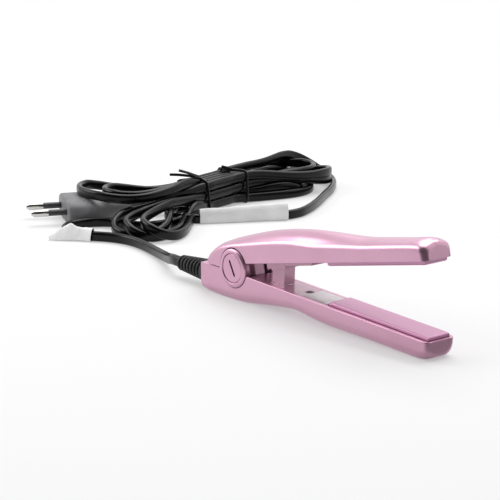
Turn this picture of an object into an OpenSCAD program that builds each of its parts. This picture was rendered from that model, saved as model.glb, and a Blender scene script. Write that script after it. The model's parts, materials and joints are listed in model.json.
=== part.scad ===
// Compact hair straightener with a bundled flat lead, standing open on a table.
// +X runs from the hinge to the tips, +Z is up, the origin is on the table under the hinge pin.

/* [Casing] */
// width of both arms, side to side
body_w = 16.1; // [14:0.1:20]
// thickness of the moulded walls
wall = 1.4; // [1:0.1:2]
// height of the hinge pin above the table
hinge_h = 15; // [14.4:0.1:16]
// slope of the lower arm down to its tip, in degrees
lower_slope = 2.42; // [2.2:0.01:2.6]
// slope of the upper arm up to its tip when it stands open, in degrees
upper_slope = 11.38; // [10:0.01:13]
// how far each rim lies from the plane through the hinge pin
rim_q = 1.8; // [1.6:0.1:2.2]
// length of both arms beyond the plates
tip_len = 1.9; // [1.8:0.1:2.4]
// length of the lower arm behind the hinge pin
block_len = 23.4; // [22:0.1:26]
// length of the upper arm behind the hinge pin
heel_len = 18; // [16:0.1:19]
// height of the flat stop on top of the rear block, above the table
stop_z = 13.5; // [13.2:0.1:13.6]

/* [Plates] */
// length of each heating plate
plate_len = 57.6; // [50:0.1:57.6]
// width of each heating plate
plate_w = 12.2; // [11:0.1:12.4]
// distance from the hinge pin to the plates
plate_x = 61.2; // [61:0.1:63]
// how far each plate stands proud of its rim
plate_proud = 1.6; // [1.2:0.1:1.6]

/* [Hinge] */
// radius of the steel hinge pin
pin_r = 1.5; // [1.3:0.05:1.8]
// running clearance round the hinge pin
pin_clear = 0.05; // [0.03:0.01:0.08]
// radius of the round caps over the hinge
cap_r = 9; // [8.6:0.1:9.4]
// radius of the side lugs that carry the pin
lug_r = 8; // [7:0.1:8.2]
// half width of the knuckle between the lugs
knuckle_hw = 4.9; // [4.4:0.1:5]
// radius of the knuckle
knuckle_r = 5.2; // [4.9:0.1:5.4]
// spring wire thickness
spring_wire = 0.8; // [0.6:0.1:1]

/* [Wire duct] */
// length of the duct along the arm
duct_len = 8; // [7:0.1:8.4]
// width of the duct across the arm
duct_w = 6; // [5:0.1:6.2]
// height of the duct above the lower rim
duct_h = 10.8; // [9:0.1:11.2]
// distance from the hinge pin to the duct
duct_x = 21; // [20.6:0.1:22]

/* [Lead] */
// width of the flat lead
lead_w = 5.2; // [4.8:0.1:5.6]
// thickness of the flat lead
lead_t = 3.2; // [2.8:0.1:3.4]
// height of the lead's exit above the table
exit_z = 7.1; // [6.8:0.1:7.6]
// length of the ribbed sleeve behind the block
sleeve_len = 26; // [22:0.5:30]

/* [Plug] */
// length of the plug pins outside the plug
plug_pin_len = 19; // [19:0.1:19.4]
// radius of the bare metal of a plug pin
plug_pin_r = 2; // [1.97:0.01:2.03]
// distance between the two plug pins
plug_pitch = 18.6; // [18:0.1:19.2]
// width of the plug
plug_w = 35.3; // [35:0.1:35.9]
// thickness of the plug
plug_t = 13.7; // [13:0.1:13.8]
// length of the moulded plug without its sleeve
plug_len = 36; // [34:0.5:37]

/* [Hidden] */
$fa = 6;
$fs = 0.35;
eps = 0.01;
hw = body_w / 2;
gap = 0.3;            // side clearance between parts of the two arms
fit = 0.1;            // clearance round parts seated in the casing
thread = 0.04;        // clearance of a screw in its boss
cap_t = 1.2;          // flange of a cap, set into the casing
lug_o = hw - cap_t;   // outer face of a lug
lug_i = 5.3;          // inner face of a lug
notch_r = cap_r + gap;
in_hw = hw - wall;    // half width inside the walls
arm_len = plate_x + plate_len + tip_len;
cover_t = 1.5;
pink = [0.80, 0.60, 0.68];
rose = [0.70, 0.58, 0.61];
plate_c = [0.74, 0.50, 0.58];
black = [0.10, 0.10, 0.11];
steel = [0.72, 0.72, 0.74];
white = [0.93, 0.93, 0.92];

// ---- frames of the two arms -------------------------------------------------

module lower_arm() translate([0, 0, hinge_h]) rotate([0, lower_slope, 0]) children();
module upper_arm() translate([0, 0, hinge_h]) rotate([0, -upper_slope, 0]) children();
// frames of the plate stacks: z = 0 at the rim, z up towards the other arm
module lower_rim() lower_arm() translate([0, 0, -rim_q]) children();
module upper_rim() upper_arm() translate([0, 0, rim_q]) mirror([0, 0, 1]) children();

// ---- lofted casing ----------------------------------------------------------

// height between stations [x, value]
// the tables of the casing are drawn for plates that start at 61.2 and a tip at 120.7
function drawn(x) = x < 0 ? x : x < plate_x ? x * 61.2 / plate_x :
  61.2 + (x - plate_x) * 59.5 / (arm_len - plate_x);
function real(x) = x < 0 ? x : x < 61.2 ? x * plate_x / 61.2 : plate_x + (x - 61.2) * (arm_len - plate_x) / 59.5;
function pick(s, x) = look(s, drawn(x));
function look(s, x, i = 0) =
  x <= s[0][0] ? s[0][1] :
  i >= len(s) - 1 ? s[len(s) - 1][1] :
  x <= s[i + 1][0] ? s[i][1] + (s[i + 1][1] - s[i][1]) * (x - s[i][0]) / (s[i + 1][0] - s[i][0]) :
  look(s, x, i + 1);

// depth of the lower casing under the hinge plane, waist near x = 40
lower_depth = [[-24, 15.2], [-20, 15.9], [-10, 16], [-1, 15.7], [6, 15], [12, 14], [20, 12.5],
  [28, 11.2], [35, 10.2], [41, 9.7], [46, 10.2], [53, 10.9], [61, 11.2], [74, 10.95], [88, 10.6],
  [101, 10.6], [112, 10.6], [117, 10.1], [119.4, 9.2], [120.7, 7.6]];
// height of the upper casing's crown and of its side edge over the hinge plane
upper_crown = [[-18, 6.6], [-16, 9.2], [-13, 10.6], [-9, 11.6], [-3, 12.7], [4, 13.6],
  [15, 14.8], [23, 15.4], [35, 15.6], [46, 15.2], [56, 14.3], [68, 12.8], [76, 11.8], [83, 11.1],
  [95, 10.8], [108, 10.5], [116, 10.5], [118.6, 10.1], [120, 9.1], [120.7, 7.4]];
upper_edge = [[-18, 5.4], [-16, 7.4], [-9, 10], [-2, 10.8], [4, 10.9], [17, 11.3], [29, 11.6], [41, 11.3],
  [48, 10.5], [55, 9.7], [73, 9.2], [85, 8.7], [106, 8.7], [116, 8.5], [119.2, 8], [120.7, 6.2]];
// narrowing of both casings at their rounded tips
function tip_in(d) = d > 3 ? 0 : 3 - sqrt(9 - (3 - d) * (3 - d));

// half sections as [y, z], from the rim towards the middle
function low_half(w, d) = [[w, -rim_q], [w, -d + 4.6], [w - 0.2, -d + 3.3], [w - 0.8, -d + 2.1],
  [w - 2.1, -d + 0.8], [w - 4.2, -d]];
function up_half(w, e, c) = [[w, rim_q], [w, e - 2.6], [w - 0.1, e - 1], [w - 0.45, e - 0.1],
  [w - 1.3, e + 0.14 * (c - e)], [w - 3, e + 0.52 * (c - e)], [w - 5.1, e + 0.84 * (c - e)], [1, c]];
function mirrored(h) = concat(h, [for (i = [len(h) - 1:-1:0]) [-h[i][0], h[i][1]]]);

// solid through sections, each a list of [y, z] at its own x
module loft(xs, secs, ccw) {
  n = len(secs[0]);
  m = len(xs);
  pts = [for (i = [0:m - 1]) for (p = secs[i]) [xs[i], p[0], p[1]]];
  first = [for (j = [0:n - 1]) j];
  last = [for (j = [n - 1:-1:0]) (m - 1) * n + j];
  ring = [for (i = [0:m - 2]) for (j = [0:n - 1]) let (k = (j + 1) % n)
    [i * n + j, (i + 1) * n + j, (i + 1) * n + k, i * n + k]];
  tri = [for (q = ring) each [[q[0], q[1], q[2]], [q[0], q[2], q[3]]]];
  faces = concat([first], tri, [last]);
  polyhedron(pts, ccw ? faces : [for (f = faces) [for (j = [len(f) - 1:-1:0]) f[j]]], convexity = 6);
}

function stations(x0, x1) = concat([x0], [for (x = [-21, -19, -16, -12.5, -8.5, -7, -2, 4, 9, 14, 20, 26, 31,
  36, 41, 46, 51, 57, 63, 69, 75, 81, 88, 96, 104, 111]) if (x > x0 + 0.8 && real(x) < x1 - 3.5) real(x)],
  [x1 - 3, x1 - 2.1, x1 - 1.2, x1 - 0.5, x1]);

module lower_solid() {
  xs = stations(-block_len - 0.8, arm_len);
  loft(xs, [for (x = xs) mirrored(low_half(hw - tip_in(arm_len - x), pick(lower_depth, x)))], false);
}

module upper_solid() {
  xs = stations(-heel_len, arm_len);
  secs = [for (x = xs)
    [for (p = mirrored(up_half(hw - tip_in(arm_len - x), pick(upper_edge, x), pick(upper_crown, x))))
      [p[0], p[1] < rim_q + eps && x < -8 ? -1.2 : p[1]]]];
  loft(xs, secs, true);
}

// inner spaces of the two casings: plain chamfered sections under a straight-sided top
module lower_room() {
  xs = concat([-block_len + 2.7], [for (x = [-10, 6, 20, 35, 41, 46, 61, 88, 112, 116.9]) real(x)],
    [arm_len - wall - 1, arm_len - wall]);
  loft(xs, [for (x = xs)
    let (w = x < arm_len - wall ? in_hw : in_hw - 0.55, d = pick(lower_depth, x + wall) - wall)
    mirrored([[w, 1.5], [w, -d + 1.9], [w - 1.9, -d]])], false);
}
module upper_room() {
  xs = concat([-heel_len + 1.8, -heel_len + 4],
    [for (x = [-9, 4, 17, 29, 41, 48, 56, 68, 83, 95, 108, 116]) real(x)],
    [arm_len - wall - 1, arm_len - wall]);
  loft(xs, [for (x = xs)
    let (w = x < arm_len - wall ? in_hw : in_hw - 0.55, b = x < 0 ? x - 1 : x + wall,
      e = pick(upper_edge, b), c = pick(upper_crown, b), z = e + 0.6 * (c - e) - wall)
    mirrored([[w, -7.5], [w, z - 2], [w - 3.2, z]])], true);
}

module disc(r, y0, y1) translate([0, y1, 0]) rotate([90, 0, 0]) cylinder(r = r, h = y1 - y0);
module pair(y0, y1, r) {
  disc(r, y0, y1);
  disc(r, -y1, -y0);
}
module block(x0, x1, y0, y1, z0, z1) translate([x0, y0, z0]) cube([x1 - x0, y1 - y0, z1 - z0]);

screw_x = 42;
clamp_x = -block_len + 9.4;
lid_t = 1.6;
clamp_y = 4.2;
ledge = 1;
cover_x0 = 10;
cover_x1 = plate_x - 0.9;
lid_x0 = -block_len + 2.8;

module lower_shell() color(pink) difference() {
  union() {
    difference() {
      lower_arm() lower_solid();
      lower_arm() lower_room();
      block(-block_len + wall, -18, -5.2, 5.2, 1.6, stop_z - lid_t);
      block(lid_x0 - fit, -10, -in_hw, in_hw, stop_z - lid_t, 30);
    }
    // lugs with the pin bores, and the seats behind the caps
    lower_arm() {
      pair(lug_i, lug_o, lug_r);
      intersection() {
        pair(lug_i, lug_o + 0.1, cap_r + 1.4);
        block(-20, cover_x0 - fit, -hw, hw, -20, -rim_q);
      }
    }
    // ledges under the plate frame, the cover and the rear lid
    lower_rim() ledges(plate_x - 1, arm_len - wall + 0.5, -3.4);
    lower_rim() ledges(12, cover_x1 - 1, -cover_t);
    for (s = [-1, 1]) block(lid_x0 + 0.6, -11, s > 0 ? in_hw - ledge : -in_hw - 0.4,
      s > 0 ? in_hw + 0.4 : -in_hw + ledge, stop_z - lid_t - 1, stop_z - lid_t);
    // screw boss of the cover
    lower_arm() translate([screw_x, 0, -pick(lower_depth, screw_x) + wall * 0.6])
      cylinder(r = 2.2, h = pick(lower_depth, screw_x) - wall * 0.6 - rim_q - cover_t);
    // clamp bosses, seat under the lead and rest of the spring leg
    for (s = [-1, 1]) translate([clamp_x, s * clamp_y, 0.8]) cylinder(r = 1.6, h = exit_z + lead_w / 2 - 2.4);
    block(clamp_x - 2, clamp_x + 2, -2.4, 2.4, 0.5, exit_z - lead_w / 2);
    lower_arm() block(10, 11.4, 0.3, 2.1, -13.4, -6.3);
  }
  // table plane under heel and tip, upright rear face, flat stop
  block(-60, 200, -20, 20, -20, 0);
  block(-60, -block_len, -20, 20, -20, 60);
  block(-60, -9.5, -20, 20, stop_z, 60);
  // round seats of the caps and the bores of the pin
  lower_arm() pair(lug_o, hw + 1, cap_r + fit);
  lower_arm() disc(pin_r + thread / 2, -hw - 1, hw + 1);
  // holes for the sleeve and the screws
  translate([-block_len - 2, 0, exit_z]) rotate([0, 90, 0]) cylinder(r = 3.7, h = 8);
  lower_rim() translate([screw_x, 0, -7]) cylinder(r = 0.8 + thread, h = 8);
  for (s = [-1, 1]) translate([clamp_x, s * clamp_y, 2.5]) cylinder(r = 0.7 + thread, h = 12);
}

module rear_lid() color(pink)
  block(lid_x0, -10.5, -in_hw + fit, in_hw - fit, stop_z - lid_t, stop_z);

module ledges(x0, x1, z) for (s = [-1, 1])
  block(x0, x1, s > 0 ? in_hw - ledge : -in_hw - 0.4, s > 0 ? in_hw + 0.4 : -in_hw + ledge, z - 1, z);

duct_wall = 1;
module lower_cover() color(rose) lower_rim() difference() {
  union() {
    block(cover_x0, cover_x1, -in_hw + fit, in_hw - fit, -cover_t, 0);
    block(duct_x, duct_x + duct_len, -duct_w / 2, duct_w / 2, -cover_t, duct_h);
  }
  block(duct_x + duct_wall, duct_x + duct_len - duct_wall, -duct_w / 2 + duct_wall,
    duct_w / 2 - duct_wall, -cover_t - 1, duct_h + 1);
  translate([screw_x, 0, -cover_t - 1]) cylinder(r = 1, h = 3);
  translate([screw_x, 0, -1.1]) cylinder(r1 = 1, r2 = 2.1, h = 1.1);
}

module screw(len, head_r, shank_r) {
  difference() {
    translate([0, 0, -1]) cylinder(r1 = shank_r, r2 = head_r, h = 1);
    for (a = [0, 90]) rotate([0, 0, a]) block(-head_r * 0.62, head_r * 0.62, -0.25, 0.25, -0.55, 1);
  }
  translate([0, 0, -len]) cylinder(r = shank_r, h = len - 0.9);
}

module lower_cover_screw() color(steel) lower_rim() translate([screw_x, 0, -0.1]) screw(6, 1.85, 0.8);

module rating_sticker() color([0.80, 0.80, 0.81]) lower_rim() difference() {
  block(44.4, cover_x1 - 0.5, -in_hw + 0.7, in_hw - 0.7, 0, 0.15);
  translate([screw_x, 0, -1]) cylinder(r = 3, h = 3);
}

// ---- plates and heaters, the same in both arms ---------------------------------

frame_hw = in_hw - fit;
module plate_frame() difference() {
  block(plate_x - 0.8, arm_len - wall - 0.35, -frame_hw + 0.05, frame_hw - 0.05, -3.4, -0.6);
  block(plate_x + 1, plate_x + plate_len - 1.6, -plate_w / 2 + 0.7, plate_w / 2 - 0.7, -5, 1);
  // round the frame's tip corners inside the casing
  for (s = [-1, 1]) translate([arm_len - wall - 1.1, s * (frame_hw - 0.75), -4])
    difference() {
      translate([0, s > 0 ? 0 : -3, 0]) cube([3, 3, 5]);
      cylinder(r = 0.7, h = 5);
    }
}

module plate() {
  bevel = 0.35;
  difference() {
    block(plate_x, plate_x + plate_len, -plate_w / 2, plate_w / 2, -0.6, plate_proud);
    for (s = [-1, 1]) translate([0, s * plate_w / 2, plate_proud]) rotate([45, 0, 0])
      block(plate_x - 1, plate_x + plate_len + 1, -bevel, bevel, -bevel, bevel);
    for (x = [plate_x, plate_x + plate_len]) translate([x, 0, plate_proud]) rotate([0, 45, 0])
      block(-bevel, bevel, -hw, hw, -bevel, bevel);
  }
  block(plate_x + 1.2, plate_x + plate_len - 1.8, -plate_w / 2 + 0.9, plate_w / 2 - 0.9, -2.6, -0.6 + eps);
}

heater_x0 = plate_x + 8;
heater_x1 = plate_x + plate_len - 8;
module heater() block(heater_x0, heater_x1, -3.6, 3.6, -4.4, -2.6);
module heater_film() difference() {
  block(heater_x0 - 1.5, heater_x1 + 1.5, -3.9, 3.9, -4.6, -2.7);
  block(heater_x0 - 2, heater_x1 + 2, -3.65, 3.65, -4.4, -2);
}
module heater_clip() {
  block(heater_x0 + 4, heater_x1 - 4, -2.4, 2.4, -5.1, -4.6);
  for (x = [heater_x0 + 6, heater_x1 - 10]) difference() {
    block(x, x + 4, -4.9, 4.9, -5.1, -3.4);
    block(x - 1, x + 5, -4.4, 4.4, -4.6, 0);
  }
}

module lower_plate_frame() color(black) lower_rim() plate_frame();
module lower_plate() color(plate_c) lower_rim() plate();
module lower_heater() color(white) lower_rim() heater();
module lower_heater_film() color([0.75, 0.55, 0.2]) lower_rim() heater_film();
module lower_heater_clip() color(steel) lower_rim() heater_clip();
module upper_plate_frame() color(black) upper_rim() plate_frame();
module upper_plate() color(plate_c) upper_rim() plate();
module upper_heater() color(white) upper_rim() heater();
module upper_heater_film() color([0.75, 0.55, 0.2]) upper_rim() heater_film();
module upper_heater_clip() color(steel) upper_rim() heater_clip();

// ---- parts of the upper arm -----------------------------------------------------

upper_screw_x = 41;
module upper_shell() color(pink) difference() {
  union() {
    difference() {
      upper_arm() upper_solid();
      upper_arm() upper_room();
    }
    upper_rim() ledges(plate_x - 1, arm_len - wall + 0.5, -3.4);
    upper_rim() ledges(12, cover_x1 - 1, -cover_t);
    upper_arm() translate([upper_screw_x, 0, rim_q + cover_t])
      cylinder(r = 2.2, h = pick(upper_edge, upper_screw_x) + 1.4 - rim_q - cover_t);
  }
  // room for the caps and the lugs, and the heel's resting edge
  upper_arm() pair(knuckle_hw, hw + 1, notch_r);
  block(-60, 0, -20, 20, -20, stop_z + 0.1);
  upper_rim() translate([upper_screw_x, 0, -6]) cylinder(r = 0.8 + thread, h = 8);
}

collar_h = 2.8;
pad_h = 1.5;
well_r = 4.2;
coil_r = 3.1;
coil_hw = 1.2;
knuckle_drop = 4.2;
module upper_cover() color(rose) difference() {
  union() {
    upper_rim() {
      block(9.5, cover_x1, -in_hw + fit, in_hw - fit, -cover_t, 0);
      block(duct_x - 1.6, duct_x + duct_len + 2.8, -duct_w / 2 - 1.6, duct_w / 2 + 1.6, -cover_t, collar_h);
      block(32.5, 50, -5.2, 5.2, -cover_t, pad_h);
    }
    upper_arm() {
      disc(knuckle_r, -knuckle_hw, knuckle_hw);
      block(-4, 6.2, -knuckle_hw, knuckle_hw, -knuckle_drop, 5);
      block(6, 8.4, -2.6, 2.6, -knuckle_drop, 5);
      block(6, 11, -knuckle_hw, knuckle_hw, rim_q, rim_q + cover_t + 0.5);
    }
  }
  upper_arm() {
    disc(pin_r + pin_clear, -10, 10);
    // well of the spring with the ways out for its two legs
    disc(well_r, -1.9, 1.9);
    block(-1.5, 5.2, coil_hw - 0.7, 1.9, -8, -2.4);
    block(0, 7.4, -1.9, -coil_hw + 0.7, 2, coil_r + spring_wire / 2 + 0.05);
  }
  upper_rim() {
    // socket of the wire duct
    block(duct_x - 0.5, duct_x + duct_len + 1.9, -duct_w / 2 - 0.4, duct_w / 2 + 0.4, -4, 4);
    translate([upper_screw_x, 0, -4]) cylinder(r = 1, h = 8);
    translate([upper_screw_x, 0, 0]) cylinder(r = 2.1, h = 4);
    translate([upper_screw_x, 0, -1.1]) cylinder(r1 = 1, r2 = 2.1, h = 1.1);
  }
}

module upper_cover_screw() color(steel) upper_rim() translate([upper_screw_x, 0, -0.1]) screw(5.4, 1.85, 0.8);

// ---- hinge ----------------------------------------------------------------------

module hinge_pin() color(steel) lower_arm() disc(pin_r, -lug_o + 0.02, lug_o - 0.02);

crest = 1.1;
module cap(turn) difference() {
  rotate([90, 0, 0]) rotate_extrude($fn = 96) polygon([[0, 0], [cap_r, 0], [cap_r, cap_t],
    [cap_r - 0.35, cap_t + 0.3], [cap_r - 0.9, cap_t + 0.75], [cap_r - 1.5, cap_t + crest - 0.05],
    [cap_r - 1.9, cap_t + crest], [cap_r - 2.3, cap_t + crest - 0.12], [cap_r - 2.5, cap_t + crest - 0.4],
    [cap_r - 2.5, cap_t + 0.1], [cap_r - 2.75, cap_t + 0.1], [cap_r - 2.75, cap_t + 0.3], [0, cap_t + 0.3]]);
  rotate([0, turn, 0]) block(-0.5, 0.5, -cap_t - 1, -cap_t + 0.3, -3.6, 3.6);
}
module hinge_cap_near() color(pink) lower_arm() translate([0, -lug_o, 0]) cap(-31);
module hinge_cap_far() color(pink) lower_arm() mirror([0, 1, 0]) translate([0, -lug_o, 0]) cap(24);

module hinge_washers() color(steel) lower_arm() difference() {
  pair(knuckle_hw + 0.03, lug_i - 0.02, 3.4);
  disc(pin_r + 0.1, -10, 10);
}

// tube along points; ref is a direction that is never along the path
function unit(v) = v / norm(v);
function sect(n, a, b) = [for (i = [0:n - 1]) let (t = -360 * (i + 0.5) / n) [a * cos(t), b * sin(t)]];
module sweep(path, prof, ref) {
  m = len(path);
  n = len(prof);
  pts = [for (i = [0:m - 1])
    let (t = unit(path[min(i + 1, m - 1)] - path[max(i - 1, 0)]), s = unit(cross(t, ref)), u = cross(s, t))
    for (q = prof) path[i] + q[0] * s + q[1] * u];
  side = [for (i = [0:m - 2]) for (j = [0:n - 1]) let (k = (j + 1) % n)
    each [[i * n + j, (i + 1) * n + k, i * n + k], [i * n + j, (i + 1) * n + j, (i + 1) * n + k]]];
  polyhedron(pts, concat([[for (j = [0:n - 1]) j]], side, [[for (j = [n - 1:-1:0]) (m - 1) * n + j]]),
    convexity = 8);
}

open_angle = lower_slope + upper_slope;
coil_end = 990;
module torsion_spring() color(steel) lower_arm() {
  a0 = 90 + open_angle;
  top = [for (x = [7, 3.5]) [x * cos(open_angle) - coil_r * sin(open_angle), -coil_hw,
    x * sin(open_angle) + coil_r * cos(open_angle)]];
  coil = [for (i = [0:44]) let (a = a0 + (coil_end - a0) * i / 44)
    [coil_r * cos(a), -coil_hw + 2 * coil_hw * i / 44, coil_r * sin(a)]];
  foot = [[4, coil_hw, -4.05], [10.9, coil_hw, -5.9]];
  sweep(concat(top, coil, foot), sect(8, spring_wire / 2, spring_wire / 2), [0, 1, 0]);
}

// ---- wiring -----------------------------------------------------------------------

core_r = 0.9;
core = sect(8, core_r, core_r);
thin = sect(8, 0.7, 0.7);
module supply_cores() color(black) {
  block(-block_len + 3.1, clamp_x + 3, -lead_t / 2, lead_t / 2, exit_z - lead_w / 2, exit_z + lead_w / 2);
  sweep([[clamp_x + 2, 0, exit_z + 1.2], [clamp_x + 4.4, 0, exit_z + 1.2], [-8, -0.8, 7.6], [-4, -2.2, 5.4], [2, -2.6, 4.4], [8, -2.6, 5.1],
    [11, -2.6, 5.6], [13, -2.6, 5.6]], core, [0, 0, 1]);
  sweep([[clamp_x + 2, 0, exit_z - 1.1], [clamp_x + 4.4, 0, exit_z - 1.1], [-8, 0.9, 5.6], [-4, 2.6, 4.6], [2, 3.3, 4.3], [10, 3.3, 4.8], [18, 2.8, 6],
    [22, 2.6, 6.4], [24, 2.6, 6.4]], core, [0, 0, 1]);
}
module thermal_fuse() color(steel) {
  translate([13, -2.6, 5.6]) rotate([0, 90, 0]) cylinder(r = 1.5, h = 7);
  translate([19.9, -2.6, 5.6]) rotate([0, 90, 0]) cylinder(r = 0.5, h = 4.1);
}
module wire_splices() color(steel) {
  for (s = [-1, 1]) translate([24, s * 2.6, 6.4]) rotate([0, 90, 0]) cylinder(r = 1.3, h = 7);
}
lead_end = heater_x0 - 1.6;
module lower_leads() color([0.75, 0.12, 0.1]) for (s = [-1, 1])
  sweep([[31, s * 2.6, 6.4], [32.6, s * 2.6, 6.4], [36, s * 3.6, 6.9], [42, s * 3.8, 6.9], [48, s * 3.6, 6.7],
    [plate_x - 6, s * 3, 6.3], [plate_x + 1, s * 2.2, 6.4], [lead_end, s * 2, 7]], thin, [0, 0, 1]);
module link_wires() color([0.75, 0.12, 0.1]) for (s = [-1, 1])
  sweep([[29.6, s * 2.6, 8.4], [27, s * 2, 9.2], [25.4, s * 1.1, 10.6], [25, s * 1, 13.4], [25.1, s * 1, 17],
    [25.6, s * 1, 21], [26.4, s * 1, 25], [27.6, s * 1.3, 27.8], [29.6, s * 1.8, 29.1], [31.6, s * 1.8, 29.5]],
    thin, [0, 1, 0]);
module upper_leads() color([0.75, 0.12, 0.1]) upper_arm() for (s = [-1, 1])
  sweep([[33.9, s * 1.8, 8], [35.5, s * 1.9, 8], [37.6, s * 3, 8.2], [41, s * 3.7, 8.2], [45, s * 3.6, 8],
    [plate_x - 9, s * 3, 7.4], [plate_x - 2, s * 2.2, 6.6], [lead_end, s * 2, 5.6]], thin, [0, 0, 1]);

module cord_clamp() color(white) difference() {
  union() {
    block(clamp_x - 1.8, clamp_x + 1.8, -clamp_y - 1.6, clamp_y + 1.6, exit_z + lead_w / 2, exit_z + lead_w / 2 + 1.2);
    for (s = [-1, 1]) translate([clamp_x, s * clamp_y, exit_z + lead_w / 2 - 1.6]) cylinder(r = 1.6, h = 1.7);
  }
  for (s = [-1, 1]) translate([clamp_x, s * clamp_y, 0]) cylinder(r = 0.85, h = 20);
}
module cord_clamp_screws() color(steel) for (s = [-1, 1]) translate([clamp_x, s * clamp_y, 0]) {
  translate([0, 0, 4]) cylinder(r = 0.7, h = exit_z + lead_w / 2 + 1.2 - 4 + 0.1);
  translate([0, 0, exit_z + lead_w / 2 + 1.2]) cylinder(r = 1.35, h = 0.7);
}

// ---- lead ---------------------------------------------------------------------------

rib_pitch = 2.4;
sleeve_r = 5.9;
module strain_relief() color(black) translate([-block_len, 0, exit_z]) rotate([0, -90, 0])
  rotate_extrude($fn = 64) polygon(concat(
    [[0, -3.1], [4.5, -3.1], [4.5, -wall - 0.1], [3.6, -wall - 0.1], [3.6, 0], [sleeve_r - 0.4, 0],
     [sleeve_r, 0.4], [sleeve_r, 4.8], [sleeve_r - 0.7, 5.6]],
    [for (i = [0:4]) let (x = 5.6 + i * rib_pitch, r = 4.5 - 0.2 * i)
      each [[r - 0.8, x], [r - 0.8, x + 0.8], [r, x + 0.9], [r - 0.15, x + rib_pitch]]],
    [[3.35, 5.6 + 5 * rib_pitch], [3, sleeve_len], [0, sleeve_len]]));

flat = [for (q = [[2.6, 0.9], [1.9, 1.6], [-1.9, 1.6], [-2.6, 0.9], [-2.6, -0.9], [-1.9, -1.6], [1.9, -1.6],
  [2.6, -0.9]]) [q[1] * lead_t / 3.2, q[0] * lead_w / 5.2]];
lead_start = -block_len - sleeve_len;
lead_route = [[lead_start, 0, exit_z], [lead_start - 2.4, 0, exit_z], [-57, 1.4, 6.7], [-64, 4.4, 5.2], [-73, 8.4, 3.9], [-83, 12, 3.1],
  [-93, 15, 2.7], [-103, 17, 2.7], [-112, 17.8, 2.7], [-120, 17, 2.7], [-128, 14, 2.7], [-135, 9.4, 2.7],
  [-141, 5.3, 2.7], [-147.4, 3.3, 2.7], [-154.1, 4.1, 2.7], [-159.8, 7.8, 2.7], [-163.5, 13.5, 2.7],
  [-164.3, 20.2, 2.7], [-162.3, 26.6, 2.8], [-157.7, 31.6, 3], [-153, 34.1, 3.2], [-149, 34.8, 3.4]];
drop_route = [[-165.5, 202.6, 2.8], [-158, 196.6, 2.7], [-147.4, 185, 2.7], [-136.8, 170.5, 2.7], [-126.5, 156.5, 2.7],
  [-117.5, 143, 2.7], [-111.4, 131, 2.7], [-110.2, 124.5, 2.7], [-110.6, 118.3, 2.7], [-115.3, 107.8, 2.7],
  [-121, 97.2, 2.7], [-126.7, 86.6, 2.7], [-132.1, 76.8, 2.7], [-136.5, 71.8, 2.7]];
module cord_lead() color(black) sweep(lead_route, flat, [0, 0, 1]);
module cord_drop() color(black) sweep(drop_route, flat, [0, 0, 1]);

// bundle of folded lead: a lower and an upper layer, straight between the two ties
low_h = 14;
bundle_h = 19;
waist = [[-149, 94], [-158, 126]];
waist_dir = unit(waist[1] - waist[0]);
waist_turn = atan2(waist_dir[1], waist_dir[0]) - 90;
waist_w = 19;
far_side = [for (p = waist) p + waist_w * [-waist_dir[1], waist_dir[0]]];
tie_at = [6, 27];
module bundle_low() polygon(concat([[-150, 44], [-150, 30], [-146, 26], [-136, 24], [-122, 24], [-112, 28],
  [-107, 37], [-114, 48], [-126, 62], [-141, 80], waist[0], waist[1], [-148, 150], [-149, 168], [-155, 185],
  [-165, 200], [-174, 210], [-187, 210], [-196, 200], [-197, 186], [-190, 158], far_side[1], far_side[0],
  [-160, 72]]));
module bundle_high() polygon(concat([[-180, 38], [-164, 38], [-150, 46], [-140, 62], [-142, 78], waist[0],
  waist[1], [-157, 150], [-163, 178], [-171, 200], [-180, 208], [-190, 206], [-196, 196], [-195, 180],
  [-188, 152], far_side[1], far_side[0], [-178, 72], [-194, 60], [-196, 48]]));
module cord_hank() color(black) difference() {
  union() {
    linear_extrude(low_h) bundle_low();
    translate([0, 0, low_h]) linear_extrude(bundle_h - low_h) bundle_high();
  }
  // channels of the ties under the bundle
  for (d = tie_at) at_tie(d) block(-30, 30, -1.1, 1.1, -1, tie_t + 0.05);
  // seat of the plug's own sleeve
  plug_at() translate([-6, plug_len - 2, -8]) cube([12, 26, 16]);
}
module at_tie(d) translate([waist[0][0] + d * waist_dir[0], waist[0][1] + d * waist_dir[1], 0])
  rotate([0, 0, waist_turn]) children();
tie_t = 1.1;
module tie(lean) {
  difference() {
    block(-waist_w - tie_t, tie_t, -0.9, 0.9, 0, bundle_h + tie_t);
    block(-waist_w, 0, -2, 2, tie_t, bundle_h);
  }
  translate([-waist_w * 0.45, 0, bundle_h + tie_t - 0.3]) rotate([0, lean, 0]) cylinder(r = 0.8, h = 9);
}
module twist_tie_left() color(black) at_tie(tie_at[0]) tie(-62);
module twist_tie_right() color(black) at_tie(tie_at[1]) tie(-80);

module cord_tag_near() color(white) {
  translate([-131.5, 11.7, 0]) rotate([0, 0, 34]) difference() {
    block(-5, 5, -2.5, 2.5, 0, 7);
    block(-6, 6, -2, 2, -1, 6.4);
  }
  translate([-134.2, 6.6, 0]) rotate([0, 0, -128]) block(0, 18, -4.5, 4.5, 0, 0.6);
}
module cord_tag_far() color(white) translate([-121, 97.2, 0]) rotate([0, 0, 61.7]) difference() {
  block(-24.5, 24.5, -2.6, 2.6, 0, 8.3);
  block(-26, 26, -2.1, 2.1, -1, 7.8);
}

// ---- plug ---------------------------------------------------------------------------

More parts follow.
